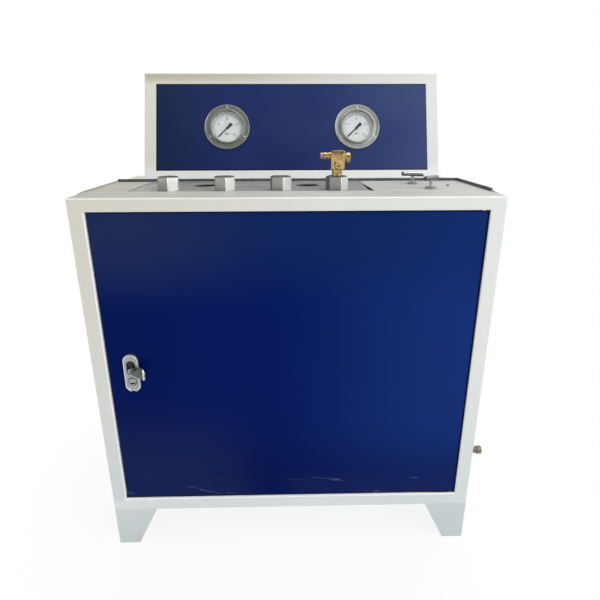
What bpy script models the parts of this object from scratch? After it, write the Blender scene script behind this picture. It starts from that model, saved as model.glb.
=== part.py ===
"""Valve test bench: a sheet-steel cabinet with a worktop, four test sockets and a leaning gauge box.

Metres, +Z up. The front face looks along -Y, and the floor is at Z = 0. Everything hangs on the
empty "bench", which stands under the middle of the cabinet's front edge.
"""

import math

import bmesh
import bpy
from mathutils import Matrix, Vector

# Sheet and clearances
SHEET = 0.0015
SEAM = 0.0003
OVERRUN = 0.004

# Cabinet
CABINET_WIDTH = 1.000
CABINET_DEPTH = 0.560
WORKTOP_HEIGHT = 0.990
JAMB_WIDTH = 0.036
TOP_RAIL = 0.031
BOTTOM_RAIL = 0.037
FRAME_DEPTH = 0.030
PANEL_FLANGE = 0.020
BASE_TRAY = 0.030

# Feet
FOOT_HEIGHT = 0.120
FOOT_TOP_WIDTH = 0.118
FOOT_TOP_DEPTH = 0.100
FOOT_SOLE_WIDTH = 0.058
FOOT_SOLE_DEPTH = 0.050
FOOT_PLATE = 0.003

# Worktop, its edges and the plate that carries the sockets
DECK_DEPTH = 0.200
UPSTAND = 0.004
UPSTAND_START = 0.050
UPSTAND_FULL = 0.094
EDGING_HEIGHT = 0.008
EDGING_WALL = 0.0017
EDGING_START = 0.098
DECK_FLANGE = 0.030
CUTOUT_LEFT = -0.400
CUTOUT_RIGHT = 0.212
CUTOUT_FRONT_SHARE = 0.339
CUTOUT_MARGIN = 0.010
STATION_LAP = 0.008
STATION_PLATE = 0.003

# Test sockets and drain holes
STATION_COUNT = 4
STATION_PITCH = 0.143
STATION_MIDDLE = -0.0915
STATION_SHARE = 0.453
STATION_TURNS = (6, 10, 11, 17)
SOCKET_FLATS = 0.050
SOCKET_HEIGHT = 0.034
SOCKET_CHAMFER = 0.003
SOCKET_BORE = 0.0112
SOCKET_BORE_DEPTH = 0.024
SOCKET_PORT = 0.004
TAIL_RADIUS = 0.015
TAIL_ENGAGEMENT = 0.012
DRAIN_RADIUS = 0.0325
DRAIN_SHARE = 0.761
DRAIN_PLACES = (-0.230, 0.052)

# Manifold
MANIFOLD_SIDE = 0.040
MANIFOLD_BORE = 0.005
MANIFOLD_END = 0.032

# Door and its pivot pins
DOOR_GAP = 0.003
DOOR_RECESS = 0.006
DOOR_RETURN = 0.020
PIVOT_INSET = 0.008
PIVOT_SETBACK = 0.0065
PIVOT_RADIUS = 0.003
PIVOT_COLLAR = 0.005
PIVOT_HEAD = 0.0025
PIVOT_REACH = 0.008
STIFFENER_WIDTH = 0.060
STIFFENER_DEPTH = 0.014

# Door lock
LOCK_INSET = 0.098
LOCK_BOTTOM = 0.502
LOCK_WIDTH = 0.038
LOCK_LENGTH = 0.103
LOCK_PROUD = 0.009
LOCK_CORNER = 0.010
LOCK_NOTCH = 0.003
LOCK_BACK_WIDTH = 0.028
LOCK_BACK_DEPTH = 0.016
LOCK_BACK_MARGIN = 0.008
CAVITY_WIDTH = 0.022
CAVITY_LENGTH = 0.050
CAVITY_DEPTH = 0.013
CAVITY_TOP_MARGIN = 0.008
HUB_RADIUS = 0.009
HUB_RISE = 0.0565
HUB_PROUD = 0.002
FORK_GAP = 0.0100
FORK_EAR = 0.0035
FORK_REACH = 0.010
SPINDLE_RADIUS = 0.005
HANDLE_PIN = 0.002
HANDLE_LIFT = 0.006
HANDLE_LENGTH = 0.046
HANDLE_ROOT_WIDTH = 0.0185
HANDLE_TIP_WIDTH = 0.032
HANDLE_TIP_RADIUS = 0.024
HANDLE_THICKNESS = 0.006
HANDLE_OUT = math.radians(30)
BUTTON_RISE = 0.0275
BUTTON_RADIUS = 0.0105
BUTTON_WALL = 0.003
BUTTON_PROUD = 0.0018
BUTTON_DEPTH = 0.012
BUTTON_POCKET = 0.020
KEYWAY_WIDTH = 0.0100
KEYWAY_HEIGHT = 0.0024
KEYWAY_DROP = 0.0030
KEYWAY_DEPTH = 0.006
CLAMP_PLATE = 0.004
CLAMP_MARGIN = 0.007
CAM_THICKNESS = 0.003
CAM_WIDTH = 0.018
CAM_LENGTH = 0.078
CAM_BORE = 0.0053
SPINDLE_TAIL = 0.002

# Gauge box
BOX_WIDTH = 0.876
BOX_SHIFT = 0.012
BOX_STANDOFF = 0.010
BOX_SLOPE = 0.325
BOX_LEAN = math.radians(21.8)
BOX_TOP_DEPTH = 0.050
BORDER_SIDE = 0.034
BORDER_TOP = 0.0315
BORDER_BOTTOM = 0.0315
PANEL_LAP = 0.012

# Pressure gauges
GAUGE_SPACING = 0.388
FLANGE_RADIUS = 0.067
FLANGE_PLATE = 0.002
CASE_RADIUS = 0.051
CASE_WALL = 0.0025
CASE_DEPTH = 0.038
CASE_CLEARANCE = 0.0006
BEZEL_PROUD = 0.008
BEZEL_LIP = 0.002
BEZEL_FRONT = 0.0015
WINDOW_GLASS = 0.002
DIAL_SETBACK = 0.008
DIAL_SHEET = 0.001
ARBOR_RADIUS = 0.0015
ARBOR_HOLE = 0.003
MOVEMENT_RADIUS = 0.014
STEM_RADIUS = 0.007
STEM_LENGTH = 0.022
POINTER_SHEET = 0.001
POINTER_HUB = 0.0045
POINTER_TIP = 0.038
POINTER_TAIL = 0.017
POINTER_TIP_WIDTH = 0.0012
POINTER_WAIST = 0.003
POINTER_TAIL_WIDTH = 0.0075
POINTER_RISE = 0.0025
POINTER_ZERO = math.radians(225)

# Shut-off and vent valves with T-handles
VALVE_NAMES = ("shutoff", "vent")
VALVE_X = (0.344, 0.3645)
VALVE_SHARES = (0.747, 0.439)
VALVE_TURNS = (-28, 46)
VALVE_BODY_SIDE = 0.032
VALVE_BODY_HEIGHT = 0.040
VALVE_NECK = 0.009
VALVE_NECK_RISE = 0.005
VALVE_BORE = 0.0045
VALVE_BORE_DEPTH = 0.026
NUT_FLATS = 0.024
NUT_WASHER = 0.014
NUT_WASHER_THICKNESS = 0.0018
NUT_HEIGHT = 0.006
STEM_FOOT = 0.018
STEM_THICK = 0.004
STEM_TENON = 0.003
STEM_TENON_LENGTH = 0.006
BAR_RISE = 0.027
BAR_RADIUS = 0.006
BAR_LENGTH = 0.062
BAR_CHAMFER = 0.001

# Brass valve under test, standing in the last socket
SAMPLE_TAIL = 0.0107
SAMPLE_TAIL_LENGTH = 0.018
SAMPLE_NECK = 0.0138
SAMPLE_NECK_HEIGHT = 0.016
SAMPLE_BODY_WIDTH = 0.0338
SAMPLE_BODY_DEPTH = 0.030
SAMPLE_BODY_HEIGHT = 0.0455
SAMPLE_BODY_SHIFT = 0.0005
SAMPLE_CHAMFER = 0.004
SAMPLE_ARM_RISE = 0.0490
SAMPLE_GLAND_RADIUS = 0.0085
SAMPLE_GLAND_LENGTH = 0.018
SAMPLE_SPINDLE_RADIUS = 0.0050
SAMPLE_SPINDLE_HEAD = 0.0072
SAMPLE_SPINDLE_HEAD_LENGTH = 0.008
SAMPLE_SPINDLE_DEPTH = 0.012
SAMPLE_OUTLET_RISE = 0.0445
SAMPLE_OUTLET_RADIUS = 0.0120
SAMPLE_OUTLET_LENGTH = 0.0150
SAMPLE_OUTLET_BORE = 0.0050
SAMPLE_BOSS_RISE = 0.0270
SAMPLE_BOSS_RADIUS = 0.0098
SAMPLE_BOSS_LENGTH = 0.009
SAMPLE_BOSS_SHIFT = 0.0005

# Air inlet on the right wall
INLET_Y = 0.055
INLET_Z = 0.2625
INLET_REACH = 0.045
INLET_THREAD = 0.010
INLET_FLATS = 0.027
INLET_NUT = 0.010
INLET_PLUG = 0.009
INLET_COLLAR = 0.0115
INLET_COLLAR_LENGTH = 0.014
INLET_BORE = 0.0035
INLET_TAIL = 0.020

# Tubes
TUBE_RADIUS = 0.004
TUBE_HOLE = 0.008
TUBE_DROP_INSET = 0.050
TUBE_RUN_DROP = 0.060
TUBE_BEND = 0.030

# Facets
ROUND_SIDES = 20
FINE_SIDES = 32
SMALL_SIDES = 12
SHARP_ANGLE = math.radians(35)
TUBE_STEPS = 4

# Worked out from the sizes above
HALF_WIDTH = CABINET_WIDTH / 2
WORKTOP_DEPTH = CABINET_DEPTH - DECK_DEPTH
UNDER_TOP = WORKTOP_HEIGHT - SHEET - SEAM
OPENING_LEFT = JAMB_WIDTH - HALF_WIDTH
OPENING_RIGHT = HALF_WIDTH - JAMB_WIDTH
OPENING_BOTTOM = FOOT_HEIGHT + BOTTOM_RAIL
OPENING_TOP = WORKTOP_HEIGHT - TOP_RAIL
DOOR_LEFT = OPENING_LEFT + DOOR_GAP
DOOR_RIGHT = OPENING_RIGHT - DOOR_GAP
DOOR_BOTTOM = OPENING_BOTTOM + DOOR_GAP
DOOR_TOP = OPENING_TOP - DOOR_GAP
PIVOT_X = DOOR_RIGHT - PIVOT_INSET
PIVOT_Y = DOOR_RECESS + PIVOT_SETBACK
LOCK_X = LOCK_INSET - HALF_WIDTH
LOCK_FACE = DOOR_RECESS - LOCK_PROUD
CUTOUT_FRONT = CUTOUT_FRONT_SHARE * WORKTOP_DEPTH
CUTOUT_BACK = WORKTOP_DEPTH - CUTOUT_MARGIN
STATION_Y = STATION_SHARE * WORKTOP_DEPTH
DRAIN_Y = DRAIN_SHARE * WORKTOP_DEPTH
STATION_TOP = UNDER_TOP
STATION_UNDER = STATION_TOP - STATION_PLATE
SOCKET_TOP = STATION_TOP + SEAM + SOCKET_HEIGHT
MANIFOLD_TOP = STATION_UNDER - SEAM
MANIFOLD_MIDDLE = MANIFOLD_TOP - MANIFOLD_SIDE / 2
STATION_PLACES = [
    STATION_MIDDLE + STATION_PITCH * (index - (STATION_COUNT - 1) / 2)
    for index in range(STATION_COUNT)
]
VALVE_PLACES = [
    (name, x, share * WORKTOP_DEPTH, turn)
    for name, x, share, turn in zip(VALVE_NAMES, VALVE_X, VALVE_SHARES, VALVE_TURNS)
]
BOX_FRONT = WORKTOP_DEPTH + BOX_STANDOFF
TUBE_DROP_Y = CABINET_DEPTH - TUBE_DROP_INSET
TUBE_RUN_Z = WORKTOP_HEIGHT - TUBE_RUN_DROP
GAUGE_RISE = (BOX_SLOPE - BORDER_TOP + BORDER_BOTTOM) / 2
PANEL_FACE = SHEET + SEAM
FRONT_REACH = (
    HANDLE_LIFT
    + HANDLE_LENGTH * math.sin(HANDLE_OUT)
    + HANDLE_THICKNESS / 2 * math.cos(HANDLE_OUT)
)


# Building blocks

def clear_scene():
    for obj in list(bpy.data.objects):
        bpy.data.objects.remove(obj, do_unlink=True)


def finish(name, colour, roughness, metallic, alpha=1):
    """A Principled material with one colour, made once for each name."""
    if name in bpy.data.materials:
        return bpy.data.materials[name]
    material = bpy.data.materials.new(name)
    material.use_nodes = True
    shader = material.node_tree.nodes["Principled BSDF"]
    shader.inputs["Base Color"].default_value = (*colour, 1)
    shader.inputs["Roughness"].default_value = roughness
    shader.inputs["Metallic"].default_value = metallic
    shader.inputs["Alpha"].default_value = alpha
    material.diffuse_color = (*colour, alpha)
    return material


def white_paint(name):
    return finish(f"{name}_white_paint", (0.68, 0.69, 0.66), 0.38, 0)


def blue_paint(name):
    return finish(f"{name}_blue_paint", (0.012, 0.020, 0.120), 0.33, 0)


def bare_steel(name):
    return finish(f"{name}_zinc_steel", (0.48, 0.49, 0.50), 0.35, 1)


def brass(name):
    return finish(f"{name}_brass", (0.76, 0.56, 0.22), 0.28, 1)


def copper(name):
    return finish(f"{name}_copper", (0.78, 0.42, 0.28), 0.33, 1)


def rubber(name):
    return finish(f"{name}_rubber", (0.045, 0.048, 0.055), 0.7, 0)


def empty(name, location, parent=None, rotation=(0, 0, 0)):
    marker = bpy.data.objects.new(name, None)
    bpy.context.collection.objects.link(marker)
    marker.location = location
    marker.rotation_euler = rotation
    marker.parent = parent
    return marker


def mesh_from(name, points, faces):
    """A closed mesh with its faces turned outwards."""
    mesh = bpy.data.meshes.new(name)
    mesh.from_pydata(points, [], faces)
    shape = bmesh.new()
    shape.from_mesh(mesh)
    bmesh.ops.recalc_face_normals(shape, faces=shape.faces)
    shape.to_mesh(mesh)
    shape.free()
    return mesh


def block(low, high):
    """A box between two opposite corners."""
    points = [(x, y, z) for x in (low[0], high[0]) for y in (low[1], high[1]) for z in (low[2], high[2])]
    faces = [(0, 1, 3, 2), (4, 6, 7, 5), (0, 4, 5, 1), (2, 3, 7, 6), (0, 2, 6, 4), (1, 5, 7, 3)]
    return mesh_from("block", points, faces)


def prism(outline, axis, start, end):
    """An outline pushed along an axis. Its points are (Y, Z) for X, (X, Z) for Y and (X, Y) for Z."""
    def place(a, b, along):
        return {"X": (along, a, b), "Y": (a, along, b), "Z": (a, b, along)}[axis]

    count = len(outline)
    points = [place(a, b, along) for along in (start, end) for a, b in outline]
    sides = [(i, (i + 1) % count, count + (i + 1) % count, count + i) for i in range(count)]
    return mesh_from("prism", points, [tuple(range(count)), tuple(range(count, 2 * count)), *sides])


def turned(profile, axis, centre=(0, 0, 0), sides=ROUND_SIDES):
    """A closed profile of (radius, distance along the axis) spun through a full turn."""
    def place(radius, along, angle):
        a = radius * math.cos(angle)
        b = radius * math.sin(angle)
        spot = {"X": (along, a, b), "Y": (a, along, b), "Z": (a, b, along)}[axis]
        return Vector(spot) + Vector(centre)

    points = []
    rings = []
    for radius, along in profile:
        steps = sides if radius > 0 else 1
        rings.append(range(len(points), len(points) + steps))
        points.extend(place(radius, along, math.pi * (2 * step + 1) / sides) for step in range(steps))
    faces = []
    for here, after in zip(rings, rings[1:] + rings[:1]):
        for step in range(sides):
            corners = [
                here[step % len(here)],
                here[(step + 1) % sides % len(here)],
                after[(step + 1) % sides % len(after)],
                after[step % len(after)],
            ]
            face = list(dict.fromkeys(corners))
            if len(face) > 2:
                faces.append(face)
    return mesh_from("turned", points, faces)


def rod(radius, start, end, axis, centre=(0, 0, 0), sides=ROUND_SIDES):
    return turned([(0, start), (radius, start), (radius, end), (0, end)], axis, centre, sides)


def ring(outer, inner, start, end, axis, centre=(0, 0, 0), sides=ROUND_SIDES):
    corners = [(inner, start), (outer, start), (outer, end), (inner, end)]
    return turned(corners, axis, centre, sides)


def hexagon(flats, turn=0):
    """The six corners of a hexagon by its width across flats, with a corner at the turn."""
    radius = flats / math.sqrt(3)
    angles = [turn + math.pi * step / 3 for step in range(6)]
    return [(radius * math.cos(angle), radius * math.sin(angle)) for angle in angles]


def arc(centre, radius, start, end, steps):
    """Points on an arc between two angles in degrees, both ends included."""
    angles = [math.radians(start + (end - start) * step / steps) for step in range(steps + 1)]
    return [(centre[0] + radius * math.cos(a), centre[1] + radius * math.sin(a)) for a in angles]


def combine(mesh, tools, operation):
    """The mesh after a Boolean with each tool in turn."""
    body = bpy.data.objects.new("body", mesh)
    bpy.context.collection.objects.link(body)
    helpers = []
    for tool in tools:
        helper = bpy.data.objects.new("tool", tool)
        bpy.context.collection.objects.link(helper)
        helpers.append(helper)
        modifier = body.modifiers.new("shape", "BOOLEAN")
        modifier.operation = operation
        modifier.solver = "EXACT"
        modifier.object = helper
    graph = bpy.context.evaluated_depsgraph_get()
    graph.update()
    result = bpy.data.meshes.new_from_object(body.evaluated_get(graph))
    for helper in [body, *helpers]:
        bpy.data.objects.remove(helper, do_unlink=True)
    return result


def cut(mesh, *tools):
    return combine(mesh, tools, "DIFFERENCE")


def join(mesh, *tools):
    return combine(mesh, tools, "UNION")


def piece(name, mesh, material, parent, location=(0, 0, 0), rotation=(0, 0, 0)):
    """One named part of the bench, shaded smooth but for its corners."""
    obj = bpy.data.objects.new(name, mesh)
    bpy.context.collection.objects.link(obj)
    obj.location = location
    obj.rotation_euler = rotation
    obj.parent = parent
    mesh.materials.clear()
    mesh.materials.append(material)
    mesh.shade_smooth()
    mesh.set_sharp_from_angle(angle=SHARP_ANGLE)
    return obj


def tube(name, route, material, parent):
    """A round tube with straight ends and a smooth curve through the points between them."""
    def between(before, start, end, after, share):
        """The Catmull-Rom curve from start to end."""
        square = share * share
        cube = square * share
        return (
            start * 2
            + (end - before) * share
            + (before * 2 - start * 5 + end * 4 - after) * square
            + (start * 3 - before - end * 3 + after) * cube
        ) / 2

    spots = [Vector(spot) for spot in route]
    points = [spots[0]]
    for index in range(1, len(spots) - 2):
        four = spots[index - 1:index + 3]
        points.extend(between(*four, step / TUBE_STEPS) for step in range(TUBE_STEPS))
    points.extend(spots[-2:])
    curve = bpy.data.curves.new(name, "CURVE")
    curve.dimensions = "3D"
    curve.bevel_depth = TUBE_RADIUS
    curve.bevel_resolution = 2
    curve.use_fill_caps = True
    spline = curve.splines.new("POLY")
    spline.points.add(len(points) - 1)
    for point, spot in zip(spline.points, points):
        point.co = (*spot, 1)
    curve.materials.append(material)
    obj = bpy.data.objects.new(name, curve)
    bpy.context.collection.objects.link(obj)
    obj.parent = parent
    return obj


# Cabinet

def make_front_frame(bench):
    """A ring of folded channel: a face, an outer wall and a lip round the door's opening."""
    outer = block((-HALF_WIDTH, 0, FOOT_HEIGHT), (HALF_WIDTH, FRAME_DEPTH, UNDER_TOP))
    opening = block(
        (OPENING_LEFT, -OVERRUN, OPENING_BOTTOM), (OPENING_RIGHT, FRAME_DEPTH + OVERRUN, OPENING_TOP)
    )
    channel = block(
        (SHEET - HALF_WIDTH, SHEET, FOOT_HEIGHT + SHEET),
        (HALF_WIDTH - SHEET, FRAME_DEPTH + OVERRUN, UNDER_TOP - SHEET),
    )
    lip = block(
        (OPENING_LEFT - SHEET, -OVERRUN, OPENING_BOTTOM - SHEET),
        (OPENING_RIGHT + SHEET, FRAME_DEPTH + 2 * OVERRUN, OPENING_TOP + SHEET),
    )
    axis = (PIVOT_X, PIVOT_Y, 0)
    holes = [
        rod(PIVOT_RADIUS + SEAM, low - OVERRUN, low + SHEET + OVERRUN, "Z", axis, SMALL_SIDES)
        for low in (OPENING_BOTTOM - SHEET, OPENING_TOP)
    ]
    frame = cut(outer, opening, cut(channel, lip), *holes)
    piece("front_frame", frame, white_paint("front_frame"), bench)


def side_outline(side):
    """A side panel's section in X and Z: a wall with a flange at its top and foot."""
    wall = side * HALF_WIDTH
    inner = side * (HALF_WIDTH - SHEET)
    tip = side * (HALF_WIDTH - PANEL_FLANGE)
    return [
        (wall, FOOT_HEIGHT),
        (wall, UNDER_TOP),
        (tip, UNDER_TOP),
        (tip, UNDER_TOP - SHEET),
        (inner, UNDER_TOP - SHEET),
        (inner, FOOT_HEIGHT + SHEET),
        (tip, FOOT_HEIGHT + SHEET),
        (tip, FOOT_HEIGHT),
    ]


def make_walls(bench):
    for name, side in (("side_panel_left", -1), ("side_panel_right", 1)):
        wall = prism(side_outline(side), "Y", FRAME_DEPTH + SEAM, CABINET_DEPTH)
        if side > 0:
            reach = (HALF_WIDTH - SHEET - OVERRUN, HALF_WIDTH + OVERRUN)
            wall = cut(wall, rod(INLET_THREAD + SEAM, *reach, "X", (0, INLET_Y, INLET_Z)))
        piece(name, wall, white_paint(name), bench)
    inner = HALF_WIDTH - SHEET - SEAM
    low = FOOT_HEIGHT + SHEET + SEAM
    back = block(
        (-inner, CABINET_DEPTH - SHEET, low), (inner, CABINET_DEPTH, UNDER_TOP - SHEET - SEAM)
    )
    piece("back_panel", back, white_paint("back_panel"), bench)
    front = FRAME_DEPTH + SEAM
    rear = CABINET_DEPTH - SHEET - SEAM
    tray = cut(
        block((-inner, front, low), (inner, rear, low + BASE_TRAY)),
        block(
            (SHEET - inner, front + SHEET, low - OVERRUN),
            (inner - SHEET, rear - SHEET, low + BASE_TRAY - SHEET),
        ),
    )
    piece("base_panel", tray, white_paint("base_panel"), bench)


def make_foot(name, side, front, bench):
    """A folded corner foot that tapers to a small sole, open on its two inner sides."""
    corner = side * HALF_WIDTH
    edge = 0 if front else CABINET_DEPTH
    inward = 1 if front else -1
    top = FOOT_HEIGHT - SEAM

    def level(width, depth, height):
        far_x = corner - side * width
        far_y = edge + inward * depth
        around = ((corner, edge), (far_x, edge), (far_x, far_y), (corner, far_y))
        return [(x, y, height) for x, y in around]

    points = level(FOOT_SOLE_WIDTH, FOOT_SOLE_DEPTH, 0) + level(FOOT_TOP_WIDTH, FOOT_TOP_DEPTH, top)
    faces = [(0, 1, 2, 3), (4, 5, 6, 7), (0, 1, 5, 4), (1, 2, 6, 5), (2, 3, 7, 6), (3, 0, 4, 7)]
    inside_x = (corner - side * FOOT_PLATE, corner - side * (FOOT_TOP_WIDTH + OVERRUN))
    inside_y = (edge + inward * FOOT_PLATE, edge + inward * (FOOT_TOP_DEPTH + OVERRUN))
    hollow = block(
        (min(inside_x), min(inside_y), FOOT_PLATE), (max(inside_x), max(inside_y), top - FOOT_PLATE)
    )
    foot = cut(mesh_from("foot", points, faces), hollow)
    piece(name, foot, white_paint(name), bench)


def make_feet(bench):
    for end, front in (("front", True), ("rear", False)):
        for hand, side in (("left", -1), ("right", 1)):
            make_foot(f"foot_{end}_{hand}", side, front, bench)


# Worktop

def make_worktop(bench):
    """The sheet with a low upstand on three sides, a cut-out for the station plate and two valve holes."""
    low = WORKTOP_HEIGHT - SHEET
    sheet = block((-HALF_WIDTH, 0, low), (HALF_WIDTH, WORKTOP_DEPTH, WORKTOP_HEIGHT))
    crest = WORKTOP_HEIGHT + UPSTAND
    back = block((-HALF_WIDTH, WORKTOP_DEPTH - SHEET, low), (HALF_WIDTH, WORKTOP_DEPTH, crest))
    outline = [
        (UPSTAND_START, low),
        (WORKTOP_DEPTH, low),
        (WORKTOP_DEPTH, crest),
        (UPSTAND_FULL, crest),
        (UPSTAND_START, WORKTOP_HEIGHT),
    ]
    left = prism(outline, "X", -HALF_WIDTH, SHEET - HALF_WIDTH)
    right = prism(outline, "X", HALF_WIDTH - SHEET, HALF_WIDTH)
    reach = (low - OVERRUN, WORKTOP_HEIGHT + OVERRUN)
    cutout = block((CUTOUT_LEFT, CUTOUT_FRONT, reach[0]), (CUTOUT_RIGHT, CUTOUT_BACK, reach[1]))
    holes = [rod(VALVE_NECK + SEAM, *reach, "Z", (x, y, 0)) for _, x, y, _ in VALVE_PLACES]
    worktop = cut(join(sheet, back, left, right), cutout, *holes)
    piece("worktop", worktop, white_paint("worktop"), bench)


def make_rear_deck(bench):
    """The sheet under the gauge box, with a flange down its front edge and two holes for tubes."""
    front = WORKTOP_DEPTH + SEAM
    low = WORKTOP_HEIGHT - SHEET
    sheet = block((-HALF_WIDTH, front, low), (HALF_WIDTH, CABINET_DEPTH, WORKTOP_HEIGHT))
    side = HALF_WIDTH - PANEL_FLANGE - SEAM
    flange = block((-side, front, WORKTOP_HEIGHT - DECK_FLANGE), (side, front + SHEET, WORKTOP_HEIGHT))
    holes = [
        rod(TUBE_HOLE, low - OVERRUN, WORKTOP_HEIGHT + OVERRUN, "Z", (x, TUBE_DROP_Y, 0))
        for x in gauge_places()
    ]
    piece("rear_deck", cut(join(sheet, flange), *holes), white_paint("rear_deck"), bench)


def edging_outline(middle):
    """A U of rubber over an upstand, as a section across it."""
    inner = SHEET / 2 + SEAM
    outer = inner + EDGING_WALL
    foot = WORKTOP_HEIGHT + SEAM
    roof = WORKTOP_HEIGHT + UPSTAND + SEAM
    top = WORKTOP_HEIGHT + EDGING_HEIGHT
    crown = [(middle + a, b) for a, b in arc((0, top - outer), outer, 180, 0, 6)]
    return [
        (middle - outer, foot),
        *crown,
        (middle + outer, foot),
        (middle + inner, foot),
        (middle + inner, roof),
        (middle - inner, roof),
        (middle - inner, foot),
    ]


def make_edging(bench):
    """The dark rubber strips on the back and the right upstand. The right one is notched over the back."""
    rise = SHEET / 2
    inner = HALF_WIDTH - rise
    half = rise + SEAM + EDGING_WALL
    back_middle = WORKTOP_DEPTH - rise
    right = prism(edging_outline(inner), "Y", EDGING_START, back_middle + half)
    foot = WORKTOP_HEIGHT - OVERRUN
    roof = WORKTOP_HEIGHT + UPSTAND + SEAM
    notch = block(
        (inner - half - OVERRUN, back_middle - rise - SEAM, foot), (inner, WORKTOP_DEPTH + SEAM, roof)
    )
    piece("edging_right", cut(right, notch), rubber("edging_right"), bench)
    start = SHEET + SEAM - HALF_WIDTH
    back = prism(edging_outline(back_middle), "X", start, inner - half - SEAM)
    piece("edging_back", back, rubber("edging_back"), bench)


def make_station_plate(bench):
    sheet = block(
        (CUTOUT_LEFT - STATION_LAP, CUTOUT_FRONT - STATION_LAP, STATION_UNDER),
        (CUTOUT_RIGHT + STATION_LAP, CUTOUT_BACK + STATION_LAP, STATION_TOP),
    )
    reach = (STATION_UNDER - OVERRUN, STATION_TOP + OVERRUN)
    sockets = [rod(TAIL_RADIUS + SEAM, *reach, "Z", (x, STATION_Y, 0)) for x in STATION_PLACES]
    drains = [rod(DRAIN_RADIUS, *reach, "Z", (x, DRAIN_Y, 0), FINE_SIDES) for x in DRAIN_PLACES]
    piece("station_plate", cut(sheet, *sockets, *drains), bare_steel("station_plate"), bench)


# Sockets and manifold

def socket_mesh():
    """A hexagon with a chamfered crown over a round tail, bored for the valve and ported below."""
    radius = SOCKET_FLATS / math.sqrt(3)
    tail_end = STATION_UNDER - TAIL_ENGAGEMENT - STATION_TOP - SEAM
    body = prism(hexagon(SOCKET_FLATS), "Z", 0, SOCKET_HEIGHT)
    crown = turned(
        [
            (0, -OVERRUN),
            (radius + OVERRUN, -OVERRUN),
            (radius + OVERRUN, SOCKET_HEIGHT - SOCKET_CHAMFER / 2),
            (radius - SOCKET_CHAMFER, SOCKET_HEIGHT + SOCKET_CHAMFER / 2),
            (0, SOCKET_HEIGHT + SOCKET_CHAMFER / 2),
        ],
        "Z",
        sides=FINE_SIDES,
    )
    body = combine(body, [crown], "INTERSECT")
    body = join(body, rod(TAIL_RADIUS, tail_end, OVERRUN, "Z"))
    bore = rod(SOCKET_BORE, SOCKET_HEIGHT - SOCKET_BORE_DEPTH, SOCKET_HEIGHT + OVERRUN, "Z")
    port = rod(SOCKET_PORT, tail_end - OVERRUN, SOCKET_HEIGHT, "Z", sides=SMALL_SIDES)
    return cut(body, bore, port)


def make_sockets(bench):
    """A corner of each hexagon points forward, turned a little as the socket was tightened."""
    shape = socket_mesh()
    for index, (x, turn) in enumerate(zip(STATION_PLACES, STATION_TURNS), start=1):
        name = f"test_socket_{index}"
        spot = (x, STATION_Y, STATION_TOP + SEAM)
        piece(name, shape.copy(), bare_steel(name), bench, spot, (0, 0, math.radians(turn - 90)))


def make_manifold(bench):
    """A square bar under the station plate, bored along its length and up to each socket."""
    start = STATION_PLACES[0] - MANIFOLD_END
    end = VALVE_PLACES[1][1] - VALVE_BODY_SIDE / 2 - SEAM
    half = MANIFOLD_SIDE / 2
    bar = block((start, -half, -half), (end, half, half))
    bore = rod(MANIFOLD_BORE, start - OVERRUN, end + OVERRUN, "X", sides=SMALL_SIDES)
    low = half - TAIL_ENGAGEMENT
    sockets = [
        rod(TAIL_RADIUS + SEAM, low, half + OVERRUN, "Z", (x, 0, 0), FINE_SIDES) for x in STATION_PLACES
    ]
    ports = [rod(SOCKET_PORT, SEAM, low + OVERRUN, "Z", (x, 0, 0), SMALL_SIDES) for x in STATION_PLACES]
    manifold = cut(bar, bore, *sockets, *ports)
    piece("manifold", manifold, bare_steel("manifold"), bench, (0, STATION_Y, MANIFOLD_MIDDLE))


# Door

def make_door(bench):
    """A shallow pan, its origin on the pivot pins' axis."""
    axis = empty("door_axis", (PIVOT_X, PIVOT_Y, DOOR_BOTTOM), bench)
    left = DOOR_LEFT - PIVOT_X
    right = DOOR_RIGHT - PIVOT_X
    face = DOOR_RECESS - PIVOT_Y
    height = DOOR_TOP - DOOR_BOTTOM
    pan = block((left, face, 0), (right, face + DOOR_RETURN, height))
    hollow = block(
        (left + SHEET, face + SHEET, SHEET), (right - SHEET, face + DOOR_RETURN + OVERRUN, height - SHEET)
    )
    holes = [
        rod(PIVOT_RADIUS + SEAM, low - OVERRUN, low + SHEET + OVERRUN, "Z", sides=SMALL_SIDES)
        for low in (0, height - SHEET)
    ]
    window = lock_body(SEAM, face - OVERRUN, face + SHEET + OVERRUN, axis)
    door = cut(pan, hollow, *holes, window)
    piece("door_panel", door, blue_paint("door_panel"), axis)
    middle = (left + right) / 2
    back = face + SHEET + SEAM
    half = STIFFENER_WIDTH / 2
    ends = (SHEET + SEAM, height - SHEET - SEAM)
    channel = cut(
        block((middle - half, back, ends[0]), (middle + half, back + STIFFENER_DEPTH, ends[1])),
        block(
            (middle - half + SHEET, back - OVERRUN, ends[0] - OVERRUN),
            (middle + half - SHEET, back + STIFFENER_DEPTH - SHEET, ends[1] + OVERRUN),
        ),
    )
    piece("door_stiffener", channel, blue_paint("door_stiffener"), axis)
    return axis


def make_pivot_pins(bench):
    """Each pin passes through the frame's lip and the door's return, with a collar in the gap between."""
    for name, lip, sign in (("pivot_pin_upper", OPENING_TOP, 1), ("pivot_pin_lower", OPENING_BOTTOM, -1)):
        head = lip + sign * (SHEET + SEAM)
        gap = lip - sign * SEAM
        door = lip - sign * (DOOR_GAP - SEAM)
        tip = lip - sign * (DOOR_GAP + PIVOT_REACH)
        profile = [
            (0, head + sign * PIVOT_HEAD),
            (PIVOT_COLLAR, head + sign * PIVOT_HEAD),
            (PIVOT_COLLAR, head),
            (PIVOT_RADIUS, head),
            (PIVOT_RADIUS, gap),
            (PIVOT_COLLAR, gap),
            (PIVOT_COLLAR, door),
            (PIVOT_RADIUS, door),
            (PIVOT_RADIUS, tip),
            (0, tip),
        ]
        pin = turned(profile, "Z", sides=SMALL_SIDES)
        piece(name, pin, bare_steel(name), bench, (PIVOT_X, PIVOT_Y, 0))


# Door lock

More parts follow.
